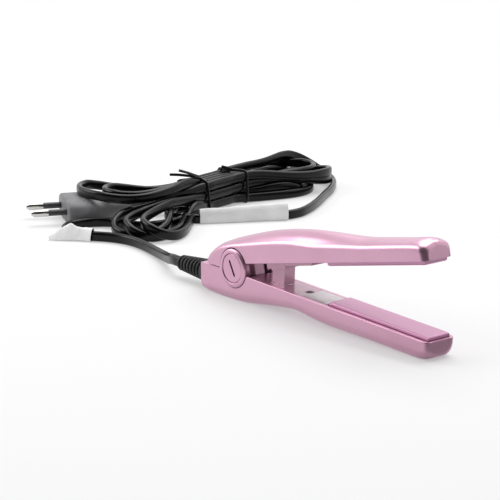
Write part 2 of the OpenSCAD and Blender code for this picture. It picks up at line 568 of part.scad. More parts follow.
plug_pos = [-185.6, 24.1];
plug_turn = -24;      // turn of the plug about the vertical, pins towards -Y when 0
plug_z = plug_t / 2;
module plug_at() translate([plug_pos[0], plug_pos[1], plug_z]) rotate([0, 0, plug_turn]) children();
function plug_sec(w, t, c) = [[w / 2, c / 2], [w / 2 - (t - c) / 2 * 1.1, t / 2], [-w / 2 + (t - c) / 2 * 1.1, t / 2],
  [-w / 2, c / 2], [-w / 2, -c / 2], [-w / 2 + (t - c) / 2 * 1.1, -t / 2], [w / 2 - (t - c) / 2 * 1.1, -t / 2],
  [w / 2, -c / 2]];
module plug_body() color([0.2, 0.2, 0.21]) plug_at() {
  ys = [0, 0.8, 10, 17, 24, 30, plug_len - 1, plug_len];
  ws = [plug_w - 1.2, plug_w, plug_w, plug_w - 3, plug_w - 9, plug_w - 15, plug_w - 19, plug_w - 21];
  ts = [plug_t - 1, plug_t, plug_t, plug_t, plug_t - 0.6, plug_t - 1.4, plug_t - 2.4, plug_t - 3.6];
  difference() {
    rotate([0, 0, 90]) loft(ys, [for (i = [0:7]) plug_sec(ws[i], ts[i], ts[i] * 0.42)], true);
    for (s = [-1, 1]) translate([s * plug_pitch / 2, 8, 0]) rotate([90, 0, 0]) cylinder(r = pin_core_r + 0.03, h = 10);
  }
  translate([0, plug_len - 1, 0]) rotate([-90, 0, 0]) cylinder(r1 = 4.2, r2 = 3.2, h = 21);
}
bare_len = 9;
pin_core_r = 1.4;
module plug_pins() color(steel) plug_at() for (s = [-1, 1]) translate([s * plug_pitch / 2, 0, 0])
  rotate([90, 0, 0]) {
    translate([0, 0, -6]) cylinder(r = pin_core_r, h = plug_pin_len - bare_len + 6 + eps);
    translate([0, 0, plug_pin_len - bare_len]) cylinder(r = plug_pin_r, h = bare_len - plug_pin_r * 0.8);
    translate([0, 0, plug_pin_len - plug_pin_r * 0.8]) cylinder(r1 = plug_pin_r, r2 = plug_pin_r * 0.45,
      h = plug_pin_r * 0.8);
  }
module plug_pin_sleeves() color(black) plug_at() for (s = [-1, 1]) translate([s * plug_pitch / 2, 0, 0])
  rotate([90, 0, 0]) difference() {
    cylinder(r = plug_pin_r - 0.28, h = plug_pin_len - bare_len - 0.02);
    translate([0, 0, -1]) cylinder(r = pin_core_r + 0.02, h = plug_pin_len);
  }
tail_y = plug_len + 20;
module cord_tail() color(black) plug_at() translate([0, tail_y, 0])
  block(-lead_t / 2, lead_t / 2, 0, 5, -lead_w / 2, lead_w / 2);

lower_shell();
rear_lid();
lower_cover();
lower_cover_screw();
rating_sticker();
lower_plate_frame();
lower_plate();
lower_heater();
lower_heater_film();
lower_heater_clip();
thermal_fuse();
wire_splices();
supply_cores();
lower_leads();
link_wires();
upper_leads();
cord_clamp();
cord_clamp_screws();
strain_relief();
hinge_pin();
hinge_cap_near();
hinge_cap_far();
torsion_spring();
hinge_washers();
upper_shell();
upper_cover();
upper_cover_screw();
upper_plate_frame();
upper_plate();
upper_heater();
upper_heater_film();
upper_heater_clip();
cord_lead();
cord_hank();
cord_drop();
cord_tail();
twist_tie_left();
twist_tie_right();
cord_tag_near();
cord_tag_far();
plug_body();
plug_pins();
plug_pin_sleeves();
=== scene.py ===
import json
import math
import bpy
import bmesh
import numpy as np
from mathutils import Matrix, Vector


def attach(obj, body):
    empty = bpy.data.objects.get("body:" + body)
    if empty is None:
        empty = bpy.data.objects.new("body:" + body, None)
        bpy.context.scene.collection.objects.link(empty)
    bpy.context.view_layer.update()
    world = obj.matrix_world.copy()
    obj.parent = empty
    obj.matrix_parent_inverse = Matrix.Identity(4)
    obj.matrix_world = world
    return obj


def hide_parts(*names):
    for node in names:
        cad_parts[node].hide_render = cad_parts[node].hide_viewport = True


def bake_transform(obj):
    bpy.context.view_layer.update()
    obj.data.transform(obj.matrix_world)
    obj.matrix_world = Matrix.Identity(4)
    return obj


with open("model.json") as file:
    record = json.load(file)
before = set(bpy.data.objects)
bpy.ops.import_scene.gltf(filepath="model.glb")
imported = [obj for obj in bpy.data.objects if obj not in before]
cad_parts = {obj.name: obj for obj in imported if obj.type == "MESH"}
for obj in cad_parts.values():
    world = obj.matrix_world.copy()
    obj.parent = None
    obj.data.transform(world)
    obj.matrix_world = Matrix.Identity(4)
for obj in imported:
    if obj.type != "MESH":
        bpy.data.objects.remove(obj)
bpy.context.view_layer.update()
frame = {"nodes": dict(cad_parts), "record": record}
MM = 0.001
scene = bpy.context.scene
nodes_by_name = frame["nodes"]


def in_scene(name, data):
    """A new object that shows the data."""
    made = bpy.data.objects.new(name, data)
    scene.collection.objects.link(made)
    return made


def facing(direction):
    """The turn of a camera or a lamp that looks in a direction."""
    return Vector(direction).to_track_quat("-Z", "Y").to_euler()


# ---- camera ----

EYE, GAZE = (0.5521, -0.4546, 0.1955), (-0.7492, 0.6190, -0.2357)
FOCAL_LENGTH, FRAME_WIDTH = 118.8, 36  # in millimetres

camera_data = bpy.data.cameras.new("camera")
camera_data.lens = FOCAL_LENGTH
camera_data.sensor_width = FRAME_WIDTH
camera_data.clip_start = 0.01
camera = in_scene("camera", camera_data)
camera.location = EYE
camera.rotation_euler = facing(GAZE)
scene.camera = camera


# ---- node helpers ----

def srgb(r, g, b):
    """Colour from 0-255 screen values."""
    def lin(v):
        v /= 255
        return v / 12.92 if v <= 0.04045 else ((v + 0.055) / 1.055) ** 2.4
    return (lin(r), lin(g), lin(b), 1)


class Graph:
    """A node tree, with short ways to add nodes and join them."""

    OPTIONS = ("operation", "data_type", "mode")

    def __init__(self, tree):
        self.tree = tree

    def feed(self, socket, value):
        """Links an output to a socket, or sets the socket's own value."""
        if hasattr(value, "links"):
            self.tree.links.new(value, socket)
        else:
            socket.default_value = value

    def fill(self, node, *values, **settings):
        """Sets a node's options, and feeds its sockets in order or by name."""
        for socket, value in zip(node.inputs, values):
            self.feed(socket, value)
        for key, value in settings.items():
            if key in self.OPTIONS:
                setattr(node, key, value)
            else:
                self.feed(node.inputs[key.replace("_", " ")], value)
        return node

    def node(self, kind, *values, **settings):
        return self.fill(self.tree.nodes.new(kind), *values, **settings)

    def math(self, operation, a, b):
        return self.node("ShaderNodeMath", a, b, operation=operation).outputs[0]

    def larger(self, a, b):
        return self.math("MAXIMUM", a, b)

    def along(self, place, direction):
        """How far a place lies in a direction."""
        unit = Vector(direction).normalized()
        return self.node("ShaderNodeVectorMath", place, unit, operation="DOT_PRODUCT").outputs["Value"]

    def spread(self, value, low, high, start=0.3, end=0.7):
        """Runs from low to high while the value goes from start to end."""
        made = self.node("ShaderNodeMapRange", Value=value, From_Min=start, From_Max=end,
                         To_Min=low, To_Max=high)
        return made.outputs["Result"]

    def blended(self, share, first, second, output):
        """Puts out a mix, with the given share of the second shader."""
        made = self.node("ShaderNodeMixShader", share, first.outputs[0], second.outputs[0])
        self.fill(self.tree.nodes[output], Surface=made.outputs[0])


class Finish(Graph):
    """A procedural material on one principled surface."""

    def __init__(self, name, **sockets):
        self.material = bpy.data.materials.new(name)
        self.material.use_nodes = True
        super().__init__(self.material.node_tree)
        self.surface = self.tree.nodes["Principled BSDF"]
        self.show(**sockets)

    def show(self, **sockets):
        self.fill(self.surface, **sockets)

    def coordinates(self, scale=(1, 1, 1)):
        place = self.node("ShaderNodeTexCoord")
        return self.node("ShaderNodeMapping", Scale=scale, Vector=place.outputs["Object"]).outputs["Vector"]

    def noise(self, scale, detail, rough=0.5, stretch=(1, 1, 1)):
        made = self.node("ShaderNodeTexNoise", Scale=scale, Detail=detail, Roughness=rough,
                         Vector=self.coordinates(stretch))
        return made.outputs["Fac"]

    def ramp(self, value, low, high, start=0.35, end=0.65):
        """Runs from one 0-255 colour to another."""
        made = self.node("ShaderNodeValToRGB", Fac=value)
        for element, place, tone in zip(made.color_ramp.elements, (start, end), (low, high)):
            element.position = place
            element.color = srgb(*tone)
        return made.outputs["Color"]

    def mix(self, share, a, b):
        made = self.node("ShaderNodeMix", data_type="RGBA")
        for socket, value in ((0, share), (6, a), (7, b)):
            self.feed(made.inputs[socket], value)
        return made.outputs[2]

    def bump(self, height, strength, distance):
        made = self.node("ShaderNodeBump", Strength=strength, Distance=distance, Height=height)
        return made.outputs["Normal"]


def mottled(name, low, high, tone, gloss, relief=None, **sockets):
    """A finish whose colour and roughness vary a little.

    Tone, gloss and relief each start with the scale and the detail of a noise. Gloss goes on with the
    lowest and highest roughness, and relief with the strength and depth of its bumps.
    """
    f = Finish(name, **sockets)
    f.show(Base_Color=f.ramp(f.noise(*tone), low, high), Roughness=f.spread(f.noise(*gloss[:2]), *gloss[2:]))
    if relief:
        f.show(Normal=f.bump(f.noise(*relief[:2]), *relief[2:]))
    return f.material


def pearl_lacquer():
    """The casing's lacquer, with fine flakes in it."""
    f = Finish("pearl_lacquer", Metallic=0.82, Coat_Weight=0.15, Coat_Roughness=0.2)
    flakes = f.node("ShaderNodeTexVoronoi", Scale=2600, Vector=f.coordinates())
    shine = f.node("ShaderNodeSeparateColor", Color=flakes.outputs["Color"]).outputs[0]
    tone = f.ramp(f.noise(22, 3), (206, 158, 182), (214, 167, 190))
    f.show(Base_Color=f.mix(f.spread(shine, 0, 0.012, start=0, end=1), tone, srgb(255, 226, 240)),
           Roughness=f.spread(f.noise(60, 3), 0.27, 0.3))
    return f.material


def plate_coating():
    """The heating plates' coating, brushed along the arm."""
    f = Finish("plate_coating", Metallic=0.62)
    grain = f.noise(300, 2, 0.5, (0.12, 1, 1))
    tone = f.ramp(f.noise(30, 4), (190, 138, 168), (197, 145, 175))
    f.show(Base_Color=f.mix(f.spread(grain, 0, 0.02), tone, srgb(226, 182, 206)),
           Roughness=f.spread(grain, 0.3, 0.33))
    return f.material


def steel(name, dark, light, low, high):
    """Drawn metal with a fine grain across it."""
    f = Finish(name, Metallic=1.0)
    grain = f.noise(700, 4, 0.6, (1, 0.08, 1))
    f.show(Base_Color=f.ramp(grain, dark, light, 0.3, 0.7), Roughness=f.spread(grain, low, high),
           Normal=f.bump(grain, 0.05, 0.00002))
    return f.material


def bare_tag(name, low, high):
    """Blank white tag sheet, a little dented."""
    return mottled(name, low, high, (90, 5), (300, 4, 0.38, 0.52), (240, 4, 0.25, 0.00008))


def plain(name, low, high, rough):
    """A small part's plain moulding, insulation or ceramic."""
    return mottled(name, low, high, (300, 4), (900, 3, rough - 0.07, rough + 0.07), (1800, 3, 0.1, 0.00003))


LACQUER = pearl_lacquer()
# the covers' shiny rose plastic
ROSE = mottled("rose_gloss", (184, 140, 160), (194, 150, 170), (60, 4), (240, 4, 0.18, 0.28),
               (1400, 3, 0.05, 0.00002), Metallic=0.35, Coat_Weight=0.4, Coat_Roughness=0.06)
COATING = plate_coating()
# painted shade: dark maroon on the walls of cuts, grooves and bores and where two lacquered parts meet,
# where shade falls
CREVICE_SHADE = mottled("seam_shade", (74, 34, 54), (92, 46, 68), (200, 3), (600, 3, 0.42, 0.56))
# heat-proof plastic round the plates
HEAT = mottled("heat_plastic", (92, 48, 66), (112, 62, 82), (120, 5), (500, 4, 0.42, 0.58),
               (1800, 3, 0.12, 0.00003))
# the lead's black sheath
SHEATH = mottled("cord_sheath", (4, 4, 5), (9, 9, 10), (160, 5), (420, 4, 0.19, 0.25),
                 (700, 2, 0.05, 0.00004), Specular_IOR_Level=0.24)
# dull black rubber of the strain relief
RUBBER = mottled("moulded_rubber", (24, 24, 25), (36, 36, 38), (140, 5), (600, 4, 0.42, 0.6),
                 (2200, 3, 0.2, 0.00004), Specular_IOR_Level=0.3)
# the plug's grey rubber
PLUG = mottled("plug_rubber", (110, 110, 112), (128, 128, 130), (110, 5), (700, 4, 0.42, 0.6),
               (2200, 3, 0.2, 0.00004))
STEEL = steel("plain_steel", (182, 182, 184), (196, 196, 198), 0.18, 0.34)
BLACK_STEEL = steel("blackened_steel", (60, 48, 54), (74, 62, 68), 0.3, 0.45)
NICKEL = steel("nickel", (191, 189, 184), (205, 203, 198), 0.12, 0.24)
# the rating sticker's blank foil, not quite even
FOIL = mottled("bare_foil", (182, 174, 177), (200, 193, 195), (130, 4), (380, 4, 0.32, 0.46),
               (180, 3, 0.2, 0.00005), Metallic=0.7)
TAG = bare_tag("bare_tag", (222, 222, 223), (238, 238, 238))
# painted light: a brighter copy of the same tag sheet for the near tag, which the lamps light less
TAG_PAINTED_BRIGHTER = bare_tag("white_tag", (246, 246, 247), (254, 254, 254))
# the wire ties' flat black plastic
RIBBON = mottled("tie_ribbon", (18, 18, 19), (32, 32, 34), (300, 4), (700, 3, 0.3, 0.48),
                 (900, 4, 0.2, 0.00004))
CERAMIC = plain("ceramic", (228, 226, 220), (240, 238, 233), 0.55)
FILM = plain("amber_film", (176, 116, 40), (198, 138, 58), 0.3)
WIRE = plain("red_insulation", (150, 26, 22), (172, 38, 32), 0.42)
PIN_SLEEVE = plain("pin_sleeve_plastic", (46, 46, 48), (60, 60, 62), 0.4)
NYLON = plain("white_nylon", (226, 226, 220), (240, 240, 236), 0.45)

SLOT_FINISH = {
    "casing": LACQUER, "cover": ROSE, "frame": HEAT, "plate": COATING, "ceramic": CERAMIC,
    "film": FILM, "steel": STEEL, "label": FOIL, "wire": WIRE, "nylon": NYLON, "cord": SHEATH,
    "tie": RIBBON, "tag": TAG, "plug": PLUG, "pin_metal": NICKEL,
}
NODE_FINISH = {"lower_cover_screw": BLACK_STEEL, "upper_cover_screw": BLACK_STEEL,
               "plug_pin_sleeves": PIN_SLEEVE}
for part in frame["record"]["subparts"]:
    shown = nodes_by_name[part["node"]]
    shown.data.materials.clear()
    shown.data.materials.append(NODE_FINISH.get(part["node"], SLOT_FINISH[part["material_slot"]]))


# ---- mesh helpers ----

def piece(name, points, faces, finish=None):
    """A smooth mesh object from points in millimetres."""
    mesh = bpy.data.meshes.new(name)
    mesh.from_pydata([tuple(c * MM for c in p) for p in points], [], faces)
    mesh.update()
    mesh.shade_smooth()
    if finish:
        mesh.materials.append(finish)
    return in_scene(name, mesh)


def band_faces(rows, count, closed=True):
    """Faces between rows of points. Closed rows are rings, and get flat ends."""
    faces = []
    for i in range(rows - 1):
        for j in range(count if closed else count - 1):
            k = (j + 1) % count
            faces.append((i * count + j, i * count + k, (i + 1) * count + k, (i + 1) * count + j))
    if closed:
        faces.append(tuple(range(count - 1, -1, -1)))
        faces.append(tuple((rows - 1) * count + j for j in range(count)))
    return faces


def outward(made):
    """Merges double points and turns the faces outwards."""
    b = bmesh.new()
    b.from_mesh(made.data)
    bmesh.ops.remove_doubles(b, verts=b.verts, dist=1e-7)
    bmesh.ops.recalc_face_normals(b, faces=b.faces)
    b.to_mesh(made.data)
    b.free()
    return made


def ringed(name, rings, finish=None, place=tuple):
    """A closed body through rings of points."""
    points = [place(p) for ring in rings for p in ring]
    return outward(piece(name, points, band_faces(len(rings), len(rings[0])), finish))


def circle(r, steps):
    return [(r * math.cos(a), r * math.sin(a)) for a in (2 * math.pi * k / steps for k in range(steps))]


def turned_y(name, profile, finish=None, place=tuple, steps=96):
    """A body turned about the Y axis from (radius, y) pairs."""
    return ringed(name, [[(x, y, z) for x, z in circle(r, steps)] for r, y in profile], finish, place)


def turned_x(name, profile, finish=None, steps=64, z=0):
    """A body turned from (x, radius) pairs about an axis along X, at height z."""
    return ringed(name, [[(x, y, z + up) for y, up in circle(r, steps)] for x, r in profile], finish)


def modified(made, kind, **options):
    """Adds a modifier with its options."""
    added = made.modifiers.new(kind.lower(), kind)
    for key, value in options.items():
        setattr(added, key, value)
    return made


def finished_mesh(made):
    return bpy.data.meshes.new_from_object(made.evaluated_get(bpy.context.evaluated_depsgraph_get()))


def baked(made):
    """Applies the modifiers of a piece and leaves a plain mesh."""
    mesh = finished_mesh(made)
    made.modifiers.clear()
    made.data = mesh
    return made


def joined(parts, name):
    """One mesh from several that lie in place and share one finish."""
    b = bmesh.new()
    for part in parts:
        b.from_mesh(part.data)
    mesh = bpy.data.meshes.new(name)
    b.to_mesh(mesh)
    b.free()
    mesh.materials.append(parts[0].data.materials[0])
    for part in parts:
        bpy.data.objects.remove(part)
    return in_scene(name, mesh)


def moved(made, offset, turn=0.0):
    """Turns a mesh about the Z axis, then moves it in millimetres."""
    c, s = math.cos(turn), math.sin(turn)
    for v in made.data.vertices:
        x, y, z = v.co
        v.co = (x * c - y * s + offset[0] * MM, x * s + y * c + offset[1] * MM, z + offset[2] * MM)
    return made


def crisp(made, angle=32):
    """Smooth faces with sharp lines where the surface really turns."""
    b = bmesh.new()
    b.from_mesh(made.data)
    bmesh.ops.remove_doubles(b, verts=b.verts, dist=2e-6)
    bmesh.ops.dissolve_degenerate(b, edges=b.edges, dist=1e-6)
    for face in b.faces:
        face.smooth = True
    for edge in b.edges:
        edge.smooth = not (len(edge.link_faces) == 2 and edge.calc_face_angle(0) > math.radians(angle))
    b.to_mesh(made.data)
    b.free()
    return made


def weighted(made):
    """Shades large faces flat and their rounded edges smooth."""
    return baked(modified(made, "WEIGHTED_NORMAL", keep_sharp=True, weight=80))


def cut(made, *cutters, way="DIFFERENCE", wall=None):
    """Takes cutters away from a body or adds them to it; wall is the finish of the cut faces."""
    for cutter in cutters:
        if wall:
            cutter.data.materials.append(wall)
        modified(made, "BOOLEAN", operation=way, solver="EXACT", object=cutter,
                 material_mode="TRANSFER" if wall else "INDEX")
        baked(made)
        bpy.data.objects.remove(cutter)
    return made


def smooth_run(points, step):
    """Even points along a smooth curve through the given points."""
    p = np.array(points, float)
    t = np.concatenate([[0], np.cumsum(np.linalg.norm(np.diff(p, axis=0), axis=1) ** 0.5)])
    # each end goes on in a straight line
    p = np.vstack([2 * p[0] - p[1], p, 2 * p[-1] - p[-2]])
    t = np.concatenate([[t[0] - 1], t, [t[-1] + 1]])
    dense = []
    for i in range(len(p) - 3):
        a, b, c, d = p[i:i + 4]
        t0, t1, t2, t3 = t[i:i + 4]
        m1 = (c - a) / (t2 - t0) * (t2 - t1)
        m2 = (d - b) / (t3 - t1) * (t2 - t1)
        for s in np.linspace(0, 1, 24, endpoint=False):
            dense.append((2 * s ** 3 - 3 * s ** 2 + 1) * b + (s ** 3 - 2 * s ** 2 + s) * m1
                         + (3 * s ** 2 - 2 * s ** 3) * c + (s ** 3 - s ** 2) * m2)
    dense = np.array(dense + [p[-2]])
    run = np.concatenate([[0], np.cumsum(np.linalg.norm(np.diff(dense, axis=0), axis=1))])
    at = np.linspace(0, run[-1], max(2, round(run[-1] / step)) + 1)
    return np.stack([np.interp(at, run, dense[:, k]) for k in range(3)], axis=1)


def polyline(name, points, closed=False):
    """A curve object straight through points in millimetres."""
    data = bpy.data.curves.new(name, "CURVE")
    data.dimensions = "3D"
    spline = data.splines.new("POLY")
    spline.points.add(len(points) - 1)
    for target, p in zip(spline.points, points):
        target.co = (*(c * MM for c in p), 1)
    spline.use_cyclic_u = closed
    return in_scene(name, data)


def stand_in(made, slot, *nodes, body="lower_arm"):
    """Sets a finished piece on its body, in place of the nodes that it stands for."""
    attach(made, body)
    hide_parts(*nodes)
    return made


# ---- geometry trees ----

def shaping_graph(name, **inputs):
    """A new geometry tree with named inputs."""
    tree = bpy.data.node_groups.new(name, "GeometryNodeTree")
    tree.interface.new_socket("Geometry", in_out="INPUT", socket_type="NodeSocketGeometry")
    for label, kind in inputs.items():
        tree.interface.new_socket(label, in_out="INPUT", socket_type="NodeSocket" + kind)
    tree.interface.new_socket("Geometry", in_out="OUTPUT", socket_type="NodeSocketGeometry")
    graph = Graph(tree)
    return graph, graph.node("NodeGroupInput").outputs


def ended(graph, shape, material):
    """Ends a geometry tree in plain faces with their finish."""
    whole = graph.node("GeometryNodeRealizeInstances", shape)
    finish = graph.node("GeometryNodeSetMaterial", Geometry=whole.outputs[0], Material=material)
    graph.node("NodeGroupOutput", finish.outputs[0])
    return graph.tree


def ribbon_tree(name, upright):
    """A flat section with round corners, drawn along a curve; upright keeps its thickness upright."""
    graph, given = shaping_graph(name, Width="Float", Thickness="Float", Corner="Float",
                                 Material="Material")
    line = graph.node("GeometryNodeSetCurveNormal", mode="Z_UP" if upright else "MINIMUM_TWIST",
                      Curve=given["Geometry"])
    flat = graph.node("GeometryNodeCurvePrimitiveQuadrilateral", Width=given["Width"],
                      Height=given["Thickness"])
    section = graph.node("GeometryNodeFilletCurve", mode="POLY", Curve=flat.outputs["Curve"], Count=4,
                         Limit_Radius=True, Radius=given["Corner"])
    body = graph.node("GeometryNodeCurveToMesh", Curve=line.outputs["Curve"],
                      Profile_Curve=section.outputs["Curve"], Fill_Caps=True)
    smooth = graph.node("GeometryNodeSetShadeSmooth", body.outputs["Mesh"])
    return ended(graph, smooth.outputs[0], given["Material"])


def rib_tree():
    """Rings set along a line, each smaller than the last."""
    graph, given = shaping_graph("sleeve_ribs", Count="Int", Pitch="Float", Taper="Float",
                                 Material="Material")
    pitch = graph.node("ShaderNodeCombineXYZ", given["Pitch"])
    line = graph.node("GeometryNodeMeshLine", Count=given["Count"], Offset=pitch.outputs[0])
    place = graph.node("GeometryNodeInputIndex")
    size = graph.math("SUBTRACT", 1, graph.math("MULTIPLY", place.outputs[0], given["Taper"]))
    scale = graph.node("ShaderNodeCombineXYZ", 1, size, size)
    rings = graph.node("GeometryNodeInstanceOnPoints", Points=line.outputs["Mesh"],
                       Instance=given["Geometry"], Scale=scale.outputs[0])
    return ended(graph, rings.outputs[0], given["Material"])


def grown(name, tree, source, finish, **sizes):
    """Runs a geometry tree on a source object and keeps the result as a plain mesh."""
    modifier = source.modifiers.new("grow", "NODES")
    modifier.node_group = tree
    values = dict(sizes, Material=finish)
    for item in tree.interface.items_tree:
        if item.in_out == "INPUT" and item.name in values:
            modifier[item.identifier] = values[item.name]
    bpy.context.view_layer.update()
    mesh = finished_mesh(source)
    bpy.data.objects.remove(source)
    mesh.materials.clear()
    mesh.materials.append(finish)
    return in_scene(name, mesh)


UPRIGHT_RIBBON = ribbon_tree("upright_ribbon", True)
FREE_RIBBON = ribbon_tree("free_ribbon", False)
RIBS = rib_tree()


# ---- supply lead ----

LEAD_W, LEAD_T, LEAD_CORNER = 5.2, 3.2, 1.45
LEAD_Z = 7.1  # where it leaves the iron
PLUG_AT, PLUG_TURN, PLUG_MID = np.array([-185.6, 24.1]), math.radians(-24), 6.85

# the waist of the bundle: three layers of five strands between the two ties
WAIST, ALONG, ACROSS = np.array([-149, 94]), np.array([-0.2708, 0.9626]), np.array([-0.9626, -0.2708])
COLUMN, LAYER = [1.9, 5.6, 9.3, 13, 16.7], [3.8, 9.4, 15]
UNDER_TIES = (-1, 11.5, 24, 36.5)
HELD, LOOSE = True, False


def behind_plug(y):
    """A point on the plug's middle line."""
    return [PLUG_AT[0] - y * math.sin(PLUG_TURN), PLUG_AT[1] + y * math.cos(PLUG_TURN), PLUG_MID]


def laid(points, state=LOOSE):
    """A stretch of the lead: held points keep their place, and loose ones settle against each other."""
    return [(p, state) for p in points]


def through(column, layer, up=True):
    """A strand's straight run, which is held between the ties."""
    flat = [WAIST + along * ALONG + COLUMN[column] * ACROSS for along in UNDER_TIES]
    run = [([x, y, LAYER[layer]], state) for (x, y), state in zip(flat, (LOOSE, HELD, HELD, LOOSE))]
    return run if up else run[::-1]


def far_fold(cx, cy, r, z0, z1, left_first=False):
    """Half a turn and more beyond the ties, rising or falling from z0 to z1."""
    angles = np.radians(np.linspace(205, -25, 9) if left_first else np.linspace(-25, 205, 9))
    return laid([[cx + r * math.cos(a), cy + r * math.sin(a), z0 + (z1 - z0) * k / 8]
                 for k, a in enumerate(angles)])


def whole_route():
    """The lead's points in order, from the iron through the bundle to the plug."""
    return [
        *laid([[-49.4, 0, LEAD_Z], [-51.8, 0, LEAD_Z], [-57, 1.4, 6.7], [-64, 4.4, 5.2],
            [-73, 8.4, 3.9], [-83, 12, 3.1], [-93, 15, 2.7], [-103, 17, 2.7], [-112, 17.8, 2.7],
            [-120, 17, 2.7], [-128, 14, 2.7], [-135, 9.4, 2.7], [-141, 5.3, 2.7], [-147.4, 3.3, 2.7],
            [-154.1, 4.1, 2.7], [-159.8, 7.8, 2.7], [-163.5, 13.5, 2.7], [-164.3, 20.2, 2.7],
            [-162.3, 26.6, 2.8], [-157.7, 31.6, 3], [-153, 34.1, 3.2], [-149, 34.8, 3.4]], HELD),
        *laid([[-142, 36.4, 3.2], [-135.5, 41, 3], [-132.5, 50, 3], [-134.5, 62, 3], [-142, 79, 3.3]]),
        *through(0, 0),
        *far_fold(-170, 168, 17, 3.2, 3.2),
        *through(4, 0, False),
        # three near folds: down low, and back over the top
        *laid([[-160, 80, 5.5], [-149, 69, 8.2], [-138, 59, 7.6], [-126, 49, 6], [-118.5, 38, 4],
            [-121, 27, 3], [-131, 21, 4.5], [-141, 26, 9], [-148.5, 40, 12.5], [-152.5, 58, 14.2],
            [-153, 76, 14.8]]),
        *through(0, 2),
        *far_fold(-169, 183, 16.5, 14.5, 5),
        *through(2, 0, False),
        *laid([[-145, 78, 3.4], [-133, 64, 3.2], [-122, 52, 3.4], [-112.5, 39, 3], [-113, 27, 3],
            [-123, 22, 5], [-132.5, 30, 9], [-139.5, 45, 11.5], [-146.5, 62, 12.2], [-151, 79, 11]]),
        *through(1, 1),
        *far_fold(-166, 158, 15.6, 9, 4),
        *through(1, 0, False),
        *laid([[-143, 84, 3.3], [-131, 68, 3], [-119, 53, 3], [-109, 40, 3], [-108.5, 29.5, 3],
            [-117, 26.5, 5], [-125.5, 36, 9.5], [-132, 49, 12], [-139, 64, 12.6], [-145, 79, 11.5]]),
        *through(0, 1),
        *far_fold(-173, 186, 17, 9, 14.6),
        *through(2, 2, False),
        # inner upper fold over the plug
        *laid([[-155, 78, 17], [-151, 64, 19], [-152, 51, 19.5], [-162, 41.5, 18], [-174, 42.5, 16.8],
            [-181, 52, 16.6], [-177, 65, 16.6], [-169, 78, 16.2]]),
        *through(3, 2),
        *far_fold(-176, 176, 16.5, 15.6, 16.6, True),
        *through(1, 2, False),
        # outer upper fold over the plug
        *laid([[-150, 77, 17.6], [-144.5, 62, 20.5], [-144, 49, 20.5], [-152, 38.5, 19.5],
            [-167, 34, 17.4], [-184, 34.5, 16.8], [-196, 43, 16.6], [-196, 56, 16.6], [-187, 68, 16.6],
            [-174, 79, 16.2]]),
        *through(4, 2),
        # outermost far loop, down to the table and on through the long tag
        *laid([[-174, 146, 17], [-181, 171, 17.5], [-188, 190, 16.5], [-187, 202, 14],
            [-179, 208.5, 9.5], [-171.5, 206.6, 4.6]]),
        *laid([[-165.5, 202.6, 2.8], [-158, 196.6, 2.7], [-147.4, 185, 2.7], [-136.8, 170.5, 2.7],
            [-126.5, 156.5, 2.7], [-117.5, 143, 2.7], [-111.4, 131, 2.7], [-110.2, 124.5, 2.7],
            [-110.6, 118.3, 2.7], [-115.3, 107.8, 2.7], [-121, 97.2, 2.7], [-126.7, 86.6, 2.7],
            [-132.1, 76.8, 2.7], [-136.5, 71.8, 2.7]], HELD),
        *laid([[-141.2, 67.6, 2.8], [-148, 66, 2.8], [-155.5, 69.5, 2.8], [-159.6, 78, 3]]),
        *through(3, 0),
        *far_fold(-173, 176, 16, 3.2, 8.6, True),
        *through(2, 1, False),
        *laid([[-159.5, 83, 8.2]]),
        *laid([behind_plug(58), behind_plug(56)], HELD),
    ]


ROUNDS, SETTLE_STEP, FINE_STEP = 240, 3.6, 2.6
STRAND_GAP = 3.6  # between the middles of two strands that lie side by side
UPRIGHT = 0.62  # a strand is taller than it is wide
LOWEST = 2.75  # the middle of a strand that lies on the table
SINK, LIFT = 0.02, 0.5  # how far a point drops in a round, and the most that the plug lifts it
# the plug's half width and its top, at steps along it from its face, with room for half a strand
PLUG_HALF = ([0, 17, 36, 56], [17.6, 16, 7, 3.6], 2.2)
PLUG_TOP = ([0, 30, 36, 56], [13.7, 13, 11, 10], 2.75)


def bent_evenly(p, free):
    """Evens out the bends of the free points, mostly over two or four points on each side."""
    soft = p.copy()
    soft[1:-1] = 0.25 * (p[:-2] + p[2:]) + 0.5 * p[1:-1]
    p = p + free * 0.03 * (soft - p)
    for r in (1, 2):
        wide = p.copy()
        wide[2 * r:-2 * r] = (-p[:-4 * r] + 4 * p[r:-3 * r] + 10 * p[2 * r:-2 * r]
                              + 4 * p[3 * r:-r] - p[4 * r:]) / 16
        p = p + free * 0.9 * (wide - p)
    return p


def same_length(p, free, spacing):
    """Sets the points back to their spacing: the lead neither stretches nor shrinks."""
    share = free[:-1] + free[1:] + 1e-9
    for _ in range(3):
        d = p[1:] - p[:-1]
        slack = d * (1 - spacing / np.linalg.norm(d, axis=1, keepdims=True))
        fix = np.zeros_like(p)
        fix[:-1] += slack * free[:-1] / share
        fix[1:] -= slack * free[1:] / share
        p = p + 0.5 * fix
    return p


def close_pairs(p, index):
    """Points of different strands that lie near each other."""
    q = p * [1, 1, UPRIGHT]
    close = np.linalg.norm(q[:, None] - q[None], axis=2) < 2 * STRAND_GAP - 0.2
    return np.nonzero(close & (index[:, None] - index[None] > 5))


def kept_apart(p, free, i, j):
    """Pushes strands that overlap clear of each other."""
    d = (p[i] - p[j]) * [1, 1, UPRIGHT]
    dist = np.linalg.norm(d, axis=1) + 1e-9
    move = d / dist[:, None] * np.clip(STRAND_GAP - dist, 0, None)[:, None]
    move[:, 2] /= UPRIGHT
    push = np.zeros_like(p)
    np.add.at(push, i, move)
    np.add.at(push, j, -move)
    size = np.linalg.norm(push, axis=1, keepdims=True) + 1e-9
    return p + free * push / size * np.minimum(size * 0.3, 0.7)


